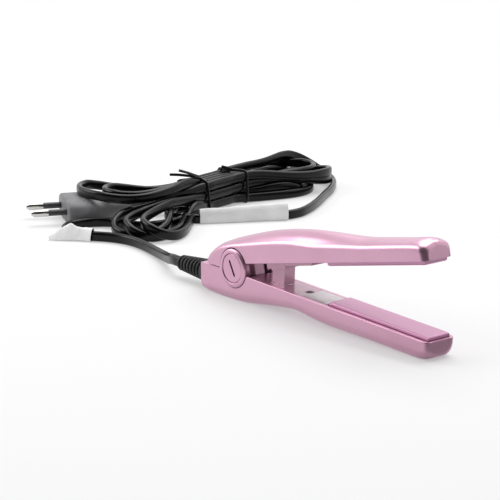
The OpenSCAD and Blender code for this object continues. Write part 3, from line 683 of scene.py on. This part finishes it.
def rested(p, free, index):
    """Lowers the free points a little, but not into the table, nor into the plug in the folds over it."""
    c, s = math.cos(-PLUG_TURN), math.sin(-PLUG_TURN)
    x = (p[:, 0] - PLUG_AT[0]) * c - (p[:, 1] - PLUG_AT[1]) * s
    y = (p[:, 0] - PLUG_AT[0]) * s + (p[:, 1] - PLUG_AT[1]) * c
    half, top = (np.interp(y, at, size) + room for at, size, room in (PLUG_HALF, PLUG_TOP))
    over = (y > -3) & (y < 55) & (np.abs(x) < half) & (index > 60) & (index < len(p) - 12)
    lift = np.where(over & (p[:, 2] > 8), np.clip(top - p[:, 2], 0, LIFT), 0)
    p[:, 2] += free[:, 0] * (lift - SINK)
    p[:, 2] = np.where(free[:, 0] > 0, np.maximum(p[:, 2], LOWEST), p[:, 2])
    return p


def settled_hank():
    """The whole lead as even points, its folds bent evenly and clear of each other."""
    points, held = zip(*whole_route())
    points, held = np.array(points, float), np.array(held)
    p = smooth_run(points, SETTLE_STEP)
    nearest = np.argmin(np.linalg.norm(p[:, None] - points[None], axis=2), axis=1)
    free = (~held[nearest]).astype(float)[:, None]
    free[0] = free[-1] = 0
    index = np.arange(len(p))
    spacing = np.linalg.norm(np.diff(p, axis=0), axis=1, keepdims=True)
    for turn in range(ROUNDS):
        p = same_length(bent_evenly(p, free), free, spacing)
        if turn % 12 == 0:
            i, j = close_pairs(p, index)
        p = rested(kept_apart(p, free, i, j), free, index)
    return smooth_run(p, FINE_STEP)


LEAD_PATH = settled_hank()
supply_lead = grown("supply_lead", UPRIGHT_RIBBON, polyline("lead_line", LEAD_PATH), SHEATH,
                    Width=LEAD_T * MM, Thickness=LEAD_W * MM, Corner=LEAD_CORNER * MM)
stand_in(supply_lead, "cord", "cord_lead", "cord_hank", "cord_drop", "cord_tail")


# ---- ties and tags on the lead ----

def crossings(along):
    """Where the strands pass the plane across the bundle, as (across, height) pairs."""
    flat = LEAD_PATH[:, :2] - WAIST
    reach, side = flat @ ALONG - along, flat @ ACROSS
    i = np.nonzero(reach[:-1] * reach[1:] <= 0)[0]
    t = reach[i] / (reach[i] - reach[i + 1])
    found = np.stack([side[i] + t * (side[i + 1] - side[i]),
                      LEAD_PATH[i, 2] + t * (LEAD_PATH[i + 1, 2] - LEAD_PATH[i, 2])], axis=1)
    # the far side of the loop and the run to the tag pass outside the bundle
    middle, half = 9, 18
    return found[np.abs(found[:, 0] - middle) < half]


def hull(points):
    """Convex outline of flat points."""
    order = sorted(map(tuple, points))
    lower, upper = [], []
    for half, run in ((lower, order), (upper, order[::-1])):
        for p in run:
            while len(half) > 1 and ((half[-1][0] - half[-2][0]) * (p[1] - half[-2][1])
                                     - (half[-1][1] - half[-2][1]) * (p[0] - half[-2][0])) <= 0:
                half.pop()
            half.append(p)
    return lower[:-1] + upper[:-1]


TIE_W, TIE_T, TIE_END_T = 1.5, 0.7, 0.6
# from the middle of a strand to the middle of the tie round it, across and up
TIE_ACROSS, TIE_UP = 2.1, 3.05
TIE_LOWEST = 0.95  # the tie's middle where it lies on the table


def tie_loop(name, along, foot_at, ends):
    """A flat wire tie pulled tight round the strands, with loose ends that start at its foot on top."""
    around = []
    for q, z in crossings(along):
        for a in np.linspace(0, 2 * math.pi, 13)[:-1]:
            around.append((q + TIE_ACROSS * math.cos(a), max(TIE_LOWEST, z + TIE_UP * math.sin(a))))
    outline = hull(around)

    def at(q, z):
        x, y = WAIST + along * ALONG + q * ACROSS
        return [x, y, z]

    def ribbon(label, path, closed, thickness, corner):
        return grown(label, FREE_RIBBON, polyline(label, path, closed), RIBBON,
                     Width=thickness * MM, Thickness=TIE_W * MM, Corner=corner * MM)

    ring = smooth_run([at(q, z) for q, z in outline + outline[:1]], 1.4)[:-1]
    foot = ring[np.argmin(np.linalg.norm(ring - at(*foot_at), axis=1))]
    parts = [ribbon(name, ring, True, TIE_T, 0.28)]
    for line in ends:
        path = smooth_run([foot] + [foot + p for p in line], 0.9)
        parts.append(ribbon(name + "_end", path, False, TIE_END_T, 0.22))
    return joined(parts, name)


tie_near = tie_loop("wire_tie_near", 1, (5, 20), (
    ((0.6, -2.2, 0.9), (-0.6, -6, 1.8), (-3.8, -11, 2.6), (-7.8, -15, 2.7)),
    ((1, -1.2, 1), (1, -4.4, 2.3), (-0.8, -8, 3.9), (-4, -11.6, 5.2))))
tie_far = tie_loop("wire_tie_far", 36, (9, 20), (
    ((-0.6, -1, 0.5), (-2.6, -2.4, 1), (-5, -3.2, 1.3)),
    ((-0.2, -1.4, 0.7), (-1.4, -3.2, 1.3), (-3.2, -4.8, 1.8))))
stand_in(tie_near, "tie", "twist_tie_left")
stand_in(tie_far, "tie", "twist_tie_right")


def strip(name, rows, finish, thickness):
    """A thin sheet from rows of points, given a thickness and soft edges."""
    faces = band_faces(len(rows), len(rows[0]), closed=False)
    made = outward(piece(name, [p for row in rows for p in row], faces, finish))
    modified(made, "SOLIDIFY", thickness=thickness * MM, offset=0)
    return baked(modified(made, "SUBSURF", levels=2))


def wrapped(middle, turn, half_length, count, section, shift, height):
    """Rows of a sleeve round the lead, from a section of (across, height) pairs.

    shift(t) and height(t, across, z) crease it along its length.
    """
    ux = np.array([math.cos(turn), math.sin(turn)])
    uy = np.array([-math.sin(turn), math.cos(turn)])
    rows = []
    for k in range(count):
        t = -half_length + 2 * half_length * k / (count - 1)
        row = []
        for across, z in section:
            x, y = middle + t * ux + (across + shift(t)) * uy
            row.append([x, y, height(t, across, z)])
        rows.append(row)
    return rows


def long_tag():
    """A bare flattened sleeve pressed round the lead."""
    section = ((0.3, 0.25), (1.9, 0.35), (2.2, 1.4), (2.15, 4.2), (2, 6.2), (0.9, 7.7), (0.25, 8.1),
               (-0.25, 8.1), (-0.9, 7.6), (-2, 6.1), (-2.15, 4.2), (-2.2, 1.4), (-1.9, 0.35),
               (-0.3, 0.25))

    def shift(t):
        return 0.16 * math.sin(t * 0.22) + 0.08 * math.sin(t * 0.61 + 1)

    def height(t, _, z):
        return z * (1 + 0.0035 * (t + 24)) + (0.12 * math.sin(t * 0.35 + 2) if z > 7 else 0)

    rows = wrapped(np.array([-121, 97.2]), math.radians(61.7), 24.4, 15, section, shift, height)
    return strip("long_tag", rows, TAG, 0.22)


def tag_flap():
    """A creased flap: from the sleeve's outer end it rises to a peak, then falls to the table."""
    # each row runs over the ridge: its near foot and far foot, its peak's height and the far foot's height
    ridge = (((-139.6, 2.6), (-141.2, 6.2), 6.9, 6.4), ((-141.2, 1.2), (-143.6, 4.6), 7.3, 6),
             ((-142.6, -0.2), (-145.6, 3.2), 9.4, 5.9), ((-144.2, -1.9), (-147.2, 1.3), 8.3, 4.6),
             ((-145.9, -3.6), (-149, -0.6), 6.4, 1.6), ((-147.6, -5.3), (-150.8, -2.6), 5.2, 0.5),
             ((-149.2, -6.9), (-152.2, -4.8), 3.6, 0.4), ((-150.6, -8.3), (-153, -6.8), 1.9, 0.4))
    lowest, peak_at, steps = 0.4, 0.58, 12
    rows = []
    for k, (near, far, high, back) in enumerate(ridge):
        row = []
        for j in range(steps + 1):
            s = j / steps
            if s < peak_at:
                z = lowest + (high - lowest) * math.sin(0.5 * math.pi * s / peak_at) ** 0.85
            else:
                z = high + (back - high) * ((s - peak_at) / (1 - peak_at)) ** 1.6
            crease = 0.45 * math.sin(2.6 * k + 5.2 * s) * math.sin(math.pi * s)
            row.append([near[0] + (far[0] - near[0]) * s + 0.5 * crease,
                        near[1] + (far[1] - near[1]) * s - 0.6 * crease, max(0.3, z + crease)])
        rows.append(row)
    return strip("tag_flap", rows, TAG_PAINTED_BRIGHTER, 0.2)


def crumpled_tag():
    """A bare short sleeve on the lead with a creased flap standing off its end."""
    section = ((0.4, 0.25), (1.9, 0.3), (2.2, 2), (2.2, 4.6), (1.6, 6.1), (0.6, 6.8), (-0.5, 6.8),
               (-1.4, 6), (-2.3, 4.2), (-3, 2), (-3.5, 0.4), (-0.4, 0.25))

    def shift(t):
        return 0.12 * math.sin(t)

    def height(t, across, z):
        return z + 0.15 * math.sin(1.3 * t + across) * min(1, z)

    rows = wrapped(np.array([-139.4, 6.5]), math.radians(31), 4.6, 9, section, shift, height)
    sleeve = strip("tag_sleeve", rows, TAG_PAINTED_BRIGHTER, 0.22)
    return joined([sleeve, tag_flap()], "crumpled_tag")


tag_far = stand_in(long_tag(), "tag", "cord_tag_far")
tag_near = stand_in(crumpled_tag(), "tag", "cord_tag_near")


# ---- casings ----
# An arm is drawn level, with the hinge at the origin: x runs to the tip, and z = 0 is the plane of the
# plates. Then it is tilted into place.

# half width, from the plates' plane to the rim, the hinge's height, and from the hinge to the tip
HW, RIM, HINGE_H, ARM = 8.05, 1.8, 15, 120.7
WALL = 1.4
IN_HW = HW - WALL
BLOCK_END, BLOCK_TOP, HEEL_END, HEEL_Z = -23.4, 13.4, -18, 13.75
LUG_R, SEAT_R, GAP_R, PIN_R, LEAD_BORE_R = 8, 9.1, 9.3, 1.5, 3.7
LUG_IN, GAP_IN = 5.3, 4.9  # inner faces of the lower arm's lugs, and of the upper arm's cuts round them
CAP_FACE = 6.85  # from the middle of the arm to the seat of the caps
TIP_R, CORNER_R = 3, 4.2
BEHIND, AHEAD, BESIDE, BELOW, ABOVE = -60, 200, 9, -20, 60  # outside the casings


def tilted(slope):
    """Turns a point of a level arm to where it lies."""
    c, s = math.cos(slope), math.sin(slope)
    return lambda p: (p[0] * c + p[2] * s, p[1], HINGE_H - p[0] * s + p[2] * c)


lower_place, upper_place = tilted(math.radians(2.42)), tilted(math.radians(-11.38))


def table_of(*pairs):
    """A softened line through (x, height) pairs."""
    xs, heights = zip(*pairs)

    def height(x):
        w = max(0, min(2.4, xs[-1] - x, x - xs[0]))
        return float(np.mean(np.interp(np.linspace(x - w, x + w, 9), xs, heights)))
    return height


low_depth = table_of(
    (-24, 15.2), (-20, 15.9), (-10, 16), (-1, 15.7), (6, 15), (12, 14), (20, 12.5), (28, 11.2),
    (35, 10.2), (41, 9.7), (46, 10.2), (53, 10.9), (61, 11.2), (74, 10.95), (88, 10.6), (101, 10.6),
    (112, 10.6), (117, 10.1), (119.4, 9.2), (120.7, 7.6))
up_crown = table_of(
    (-18, 6.6), (-16, 9.2), (-13, 10.6), (-9, 11.6), (-3, 12.7), (4, 13.6), (15, 14.8), (23, 15.4),
    (35, 15.6), (46, 15.2), (56, 14.3), (68, 12.8), (76, 11.8), (83, 11.1), (95, 10.8), (108, 10.5),
    (116, 10.5), (118.6, 10.1), (120, 9.1), (120.7, 7.4))
up_edge = table_of(
    (-18, 5.4), (-16, 7.4), (-9, 10), (-2, 10.8), (4, 10.9), (17, 11.3), (29, 11.6), (41, 11.3),
    (48, 10.5), (55, 9.7), (73, 9.2), (85, 8.7), (106, 8.7), (116, 8.5), (119.2, 8), (120.7, 6.2))


def half_width(x):
    """Half the width of an arm, which is rounded in plan at its tip."""
    d = ARM - x
    return HW - (0.0 if d > TIP_R else TIP_R - math.sqrt(max(0, TIP_R ** 2 - (TIP_R - d) ** 2)))


def casing_stations(start):
    """Even stations, and close ones where the tip rounds over."""
    return list(np.arange(start, ARM - 3.4, 1.25)) + [
        ARM - d for d in (3, 2.6, 2.2, 1.8, 1.4, 1.05, 0.75, 0.5, 0.3, 0.15, 0.05, 0)]


def round_rim(w, z, sign):
    return [(w - 0.3, z), (w - 0.14, z + sign * 0.045), (w - 0.045, z + sign * 0.14), (w, z + sign * 0.3)]


def low_section(x):
    """Half of the lower casing's section: a straight side and a full round corner to a flat bottom."""
    w, d = half_width(x), low_depth(x)
    half = round_rim(w, -RIM, -1)
    top, bottom = -RIM - 0.3, -d + 4.6
    half += [(w, top + (bottom - top) * t) for t in (0.33, 0.66)]
    for k in range(13):
        t = math.radians(90 * k / 12)
        half.append((w - CORNER_R + CORNER_R * math.cos(t) ** 0.94, bottom - 4.6 * math.sin(t) ** 0.94))
    half.append((w * 0.25, -d))
    return half


def eased(a, b, before, after, t):
    """A point between a and b on a smooth curve that comes from before and goes on to after."""
    return tuple(0.5 * (2 * a[n] + (b[n] - before[n]) * t
                        + (2 * before[n] - 5 * a[n] + 4 * b[n] - after[n]) * t * t
                        + (3 * a[n] - before[n] - 3 * b[n] + after[n]) * t ** 3) for n in (0, 1))


def up_section(x):
    """Half of the upper casing's section: a straight side, a soft edge and a domed crown."""
    w, e, c = half_width(x), up_edge(x), up_crown(x)
    k = c - e
    side = (w, RIM + 0.3 + (e - 3.4 - RIM) * 0.5)
    knots = [side, (w, e - 3.1), (w - 0.14, e - 1.6), (w - 0.58, e - 0.55), (w - 1.4, e + 0.1 * k),
             (w - 3, e + 0.5 * k), (w - 5.1, e + 0.84 * k), (w * 0.12, c)]
    knots.append((-knots[-1][0], c))
    half = round_rim(w, RIM if x >= -8 else -1.2, 1) + [side]
    for before, a, b, after in zip(knots, knots[1:], knots[2:], knots[3:]):
        half += [eased(a, b, before, after, t) for t in (0, 0.34, 0.67)]
    return half + [knots[-2]]


def lofted(name, section, stations, place, finish=None):
    """A body through mirrored sections."""
    rings = []
    for x in stations:
        half = section(x)
        rings.append([(x, y, z) for y, z in half] + [(x, -y, z) for y, z in reversed(half)])
    return ringed(name, rings, finish, place)


def room_half_width(x):
    return IN_HW if x < ARM - WALL - 0.01 else IN_HW - 0.55


def low_room_section(x):
    """Half of the section of the lower casing's hollow."""
    w, d = room_half_width(x), low_depth(min(x + WALL, ARM)) - WALL
    return [(w, 1.5), (w, -d + 1.9), (w - 1.9, -d)]


def up_room_section(x):
    """Half of the section of the upper casing's hollow."""
    b = max(x - 1 if x < 0 else min(x + WALL, ARM), HEEL_END)
    w, e = room_half_width(x), up_edge(b)
    z = e + 0.6 * (up_crown(b) - e) - WALL
    return [(w, -7.5), (w, z - 2), (w - 3.2, z)]


def box_cutter(x0, x1, y0, y1, z0, z1):
    corners = [(x, y, z) for x in (x0, x1) for y in (y0, y1) for z in (z0, z1)]
    faces = [(0, 1, 3, 2), (4, 6, 7, 5), (0, 4, 5, 1), (2, 3, 7, 6), (0, 2, 6, 4), (1, 5, 7, 3)]
    return piece("cutter", corners, faces)


def cutter_across(x1, z0, z1):
    """A cutter wider than a casing, which starts behind it and ends at x1."""
    return box_cutter(BEHIND, x1, BELOW, -BELOW, z0, z1)


def disc(r, y0, y1, place, steps=96):
    return turned_y("cutter", [(r, y0), (r, y1)], place=place, steps=steps)


def side_discs(r, inner, outer, place):
    """A disc about the hinge on each side of an arm."""
    return disc(r, inner, outer, place), disc(r, -outer, -inner, place)


def lower_casing():
    """The lower shell: hollow, open at the rear, with lugs for the hinge and round seats for the caps."""
    made = lofted("lower_casing", low_section, casing_stations(-24.2), lower_place, LACQUER)
    room_at = [-20.7, -10, 6, 20, 35, 41, 46, 61, 88, 112, 116.9, ARM - 2.4, ARM - WALL]
    cut(made, lofted("cutter", low_room_section, room_at, lower_place),
        box_cutter(-22, -18, -5.2, 5.2, 1.6, 11.9), box_cutter(-20.7, -10, -IN_HW, IN_HW, 11.9, 30))
    cut(made, *side_discs(LUG_R, LUG_IN, CAP_FACE + 0.01, lower_place), way="UNION")
    # flat underneath, at the rear and on top of the block
    cut(made, cutter_across(AHEAD, BELOW, 0), cutter_across(BLOCK_END, BELOW, ABOVE),
        cutter_across(-9.5, BLOCK_TOP, ABOVE))
    # the walls of the cap seats and of the bores get the painted shade
    cut(made, *side_discs(SEAT_R, CAP_FACE, BESIDE, lower_place),
        disc(PIN_R, -BESIDE, BESIDE, lower_place, 48),
        turned_x("cutter", [(-25, LEAD_BORE_R), (-18, LEAD_BORE_R)], z=LEAD_Z), wall=CREVICE_SHADE)
    return weighted(crisp(made))


def upper_casing():
    """The upper shell: hollow, with round cuts that clear the lugs and a heel that clears the block."""
    made = lofted("upper_casing", up_section, casing_stations(HEEL_END), upper_place, LACQUER)
    room_at = [-16.2, -14, -9, 4, 17, 29, 41, 48, 56, 68, 83, 95, 108, 116, ARM - 2.4, ARM - WALL]
    cut(made, lofted("cutter", up_room_section, room_at, upper_place))
    # the cuts round the lugs and the heel's underside get the painted shade
    cut(made, *side_discs(GAP_R, GAP_IN, BESIDE, upper_place), cutter_across(0, BELOW, HEEL_Z), wall=CREVICE_SHADE)
    return weighted(crisp(made))


stand_in(lower_casing(), "casing", "lower_shell")
stand_in(upper_casing(), "casing", "upper_shell", body="upper_arm")


def hinge_cap(name, side, turn):
    """A turned cap with a raised rim and a coin slot, set flush into the casing."""
    groove = (6.49, 6.71)
    profile = [(8.6, 0), (8.8, 0.06), (8.84, 0.2), (8.84, 1.3), (8.79, 1.5), (8.66, 1.68), (8.46, 1.84),
               (8.15, 1.98), (7.75, 2.1), (7.3, 2.18), (6.98, 2.2), (6.82, 2.13), (6.74, 1.98), (6.7, 1.3),
               (6.52, 1.3), (6.5, 1.84), (6.42, 1.94), (6.28, 1.99), (5.6, 2.02), (0.001, 2.04)]

    def place(p):
        return lower_place((p[0], side * (CAP_FACE + p[1]), p[2]))

    made = turned_y(name, profile, LACQUER, place, 128)
    # the groove round the rim and the coin slot's walls get the painted shade
    made.data.materials.append(CREVICE_SHADE)
    for polygon in made.data.polygons:
        x, y, z = (c / MM for c in polygon.center)
        if groove[0] < math.hypot(x, z - HINGE_H) < groove[1] and side * y - CAP_FACE < 1.6:
            polygon.material_index = 1
    c, s = math.cos(math.radians(turn)), math.sin(math.radians(turn))
    outline = [(0.55 * math.cos(a), 3.4 + 0.55 * math.sin(a)) for a in np.linspace(0, math.pi, 9)]
    outline += [(-x, -z) for x, z in outline]
    rings = [[(x * c + z * s, y, -x * s + z * c) for x, z in outline] for y in (1, 3)]
    cut(made, ringed("cutter", rings, place=place), wall=CREVICE_SHADE)
    return weighted(crisp(made, 40))


stand_in(hinge_cap("cap_near", -1, -31), "casing", "hinge_cap_near")
stand_in(hinge_cap("cap_far", 1, 24), "casing", "hinge_cap_far")


# ---- edges of the carried-over parts ----

def soften(node, width):
    """Breaks the sharp edges of a carried-over part."""
    target = nodes_by_name[node]
    modified(target, "WELD", merge_threshold=1e-6)
    modified(target, "BEVEL", width=width * MM, segments=2, angle_limit=math.radians(35))
    modified(target, "WEIGHTED_NORMAL")


EDGE_WIDTH = {"lower_cover": 0.22, "upper_cover": 0.2, "rear_lid": 0.2, "rating_sticker": 0.04}
for arm in ("lower", "upper"):
    EDGE_WIDTH.update({arm + "_plate": 0.12, arm + "_plate_frame": 0.12, arm + "_cover_screw": 0.06})
for name, edge_width in EDGE_WIDTH.items():
    soften(name, edge_width)


# ---- wires and spring that span the hinge ----

def spanning(node, name):
    """A merged copy of a carried-over part that runs from the lower to the upper arm."""
    made = in_scene(name, nodes_by_name[node].data.copy())
    crisp(outward(made), 50)
    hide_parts(node)
    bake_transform(made)


spanning("link_wires", "hinge_wires")
spanning("torsion_spring", "hinge_spring")


# ---- ribbed sleeve and plug ----

def relief_sleeve():
    """The tapered strain relief: a collar in the block's wall, a bead outside it and seven ribs."""
    core = [(3.1, 4.4), (3.1, 4.5), (1.5, 4.5), (1.5, 3.6), (0, 3.6), (0, 5.3), (-0.25, 5.75), (-0.7, 5.9),
            (-4.5, 5.85), (-5.2, 5.6), (-5.7, 5), (-5.9, 4.2), (-6.1, 3.85), (-12, 3.4), (-18, 3.1),
            (-24.4, 2.9), (-25.4, 2.9), (-25.6, 2.8)]
    rib = [(0.02, 2.6), (0, 4.6), (-0.12, 4.95), (-0.35, 5.1), (-1.1, 5.08), (-1.4, 4.94), (-1.52, 4.6),
           (-1.54, 2.6)]
    ribs = grown("sleeve_ribs", RIBS, turned_x("sleeve_rib", rib, RUBBER), RUBBER,
                 Count=7, Pitch=-2.62 * MM, Taper=0.044)
    whole = joined([turned_x("sleeve_core", core, RUBBER), moved(ribs, (-6.9, 0, 0))], "relief_sleeve")
    return crisp(moved(whole, (BLOCK_END, 0, LEAD_Z)), 40)


def plug_shell():
    """A flat two-pin plug with a waisted grip and a ribbed sleeve, drawn with its pins towards +X."""
    # distance from the face, width, thickness, and how square the section is
    stations = ((0, 33.2, 12.2, 3.2), (0.25, 34.4, 12.9, 3.2), (0.9, 35.2, 13.6, 3.2), (5, 35.3, 13.7, 3.2),
                (10, 35.2, 13.7, 3.2), (14, 34, 13.7, 3), (17, 32.2, 13.6, 2.9), (20, 29.6, 13.4, 2.8),
                (24, 26.2, 13.1, 2.6), (27, 23.4, 12.8, 2.5), (30, 20.4, 12.3, 2.4), (33, 17.8, 11.8, 2.3),
                (35, 16, 11.2, 2.2), (35.8, 14.6, 10.4, 2.2), (36, 13.6, 9.8, 2.2))

    def squared(value, power, size):
        return math.copysign(abs(value) ** (2 / power), value) * size / 2

    rings = [[(-back, squared(c, power, width), squared(s, power, thick)) for c, s in circle(1, 48)]
             for back, width, thick, power in stations]
    grip = ringed("plug_grip", rings, PLUG)
    core = turned_x("plug_sleeve", [(-35, 4), (-40, 3.7), (-48, 3.3), (-55.4, 3.1), (-56, 2.9)], PLUG, 48)
    rib = [(0.02, 2.6), (0, 4.2), (-0.2, 4.45), (-1.2, 4.45), (-1.45, 4.2), (-1.5, 2.6)]
    ribs = grown("plug_ribs", RIBS, turned_x("plug_rib", rib, PLUG, 48), PLUG,
                 Count=7, Pitch=-2.5 * MM, Taper=0.035)
    whole = joined([grip, core, moved(ribs, (-36.6, 0, 0))], "plug_grip")
    return crisp(moved(whole, (PLUG_AT[0], PLUG_AT[1], PLUG_MID), math.radians(-90) + PLUG_TURN), 40)


sleeve = stand_in(relief_sleeve(), "cord", "strain_relief")
plug = stand_in(plug_shell(), "plug", "plug_body")


# ---- floor and light ----

FLOOR_HALF = 6000
SOFT_LIGHT = 0.42  # what the walls light the object with
WHITE = (1, 1, 1, 1)
FRONT = (0.62, -0.78)  # the side that no lamp stands on


def seamless():
    """A pale floor that keeps the shadow near the object and runs out to plain white."""
    f = Finish("seamless", Roughness=0.9, Specular_IOR_Level=0.1)
    f.show(Base_Color=f.ramp(f.noise(0.7, 2), (236, 236, 237), (240, 240, 241), 0.3, 0.7))
    seen = f.node("ShaderNodeLightPath").outputs
    mirrored = f.larger(seen["Is Glossy Ray"], seen["Is Transmission Ray"])
    away = f.node("ShaderNodeVectorMath", f.coordinates(), operation="LENGTH")
    whiter = f.spread(away.outputs["Value"], 0.38, 1, start=0.26, end=0.75)
    # what is glossy sees the white floor end at the front, and grow dim past the tips: painted shade that
    # the arms' end faces reflect
    front_end = f.spread(f.along(f.coordinates(), (*FRONT, 0)), 0, 0.97, start=0.16, end=0.33)
    tip_shade_in_reflections = f.spread(f.along(f.coordinates(), (1, 0, 0)), 0, 0.85, start=0.11, end=0.127)
    dim = f.math("MULTIPLY", mirrored, f.larger(front_end, tip_shade_in_reflections))
    glow = f.node("ShaderNodeEmission", Color=WHITE, Strength=f.math("SUBTRACT", 1, dim))
    straight = f.larger(seen["Is Camera Ray"], mirrored)
    f.blended(f.larger(f.math("MULTIPLY", straight, whiter), dim), f.surface, glow, "Material Output")
    return f.material


def studio_world():
    """Plain white walls; what is glossy also shows the dark side that nothing lights."""
    world = bpy.data.worlds.new("studio")
    scene.world = world
    world.use_nodes = True
    w = Graph(world.node_tree)
    place = w.node("ShaderNodeTexCoord").outputs["Generated"]
    fade = w.spread(w.along(place, (*FRONT, 0.05)), 1, 0.02, start=0.15, end=0.5)
    seen = w.node("ShaderNodeLightPath").outputs
    soft = w.fill(w.tree.nodes["Background"], Color=WHITE, Strength=SOFT_LIGHT)
    walls = w.node("ShaderNodeBackground", Color=WHITE, Strength=w.larger(seen["Is Camera Ray"], fade))
    mirrored = w.larger(seen["Is Glossy Ray"], seen["Is Transmission Ray"])
    w.blended(w.larger(seen["Is Camera Ray"], mirrored), soft, walls, "World Output")


def lamp(name, place, target, size, size_y, power):
    """A soft box that faces its target."""
    data = bpy.data.lights.new(name, "AREA")
    data.shape = "RECTANGLE"
    data.size = size
    data.size_y = size_y
    data.energy = power
    made = in_scene(name, data)
    made.location = place
    made.rotation_euler = facing(Vector(target) - Vector(place))


corners = [(FLOOR_HALF * x, FLOOR_HALF * y, 0) for x, y in ((-1, -1), (1, -1), (1, 1), (-1, 1))]
piece("floor", corners, [(0, 1, 2, 3)], seamless())
studio_world()
lamp("key", (-0.2, 0.46, 1.08), target=(0, 0, 0), size=1.4, size_y=1.15, power=13.6)
lamp("side", (-0.8, -0.55, 0.5), target=(0, 0, 0.02), size=0.7, size_y=0.5, power=3.6)

scene.view_settings.view_transform = "Standard"
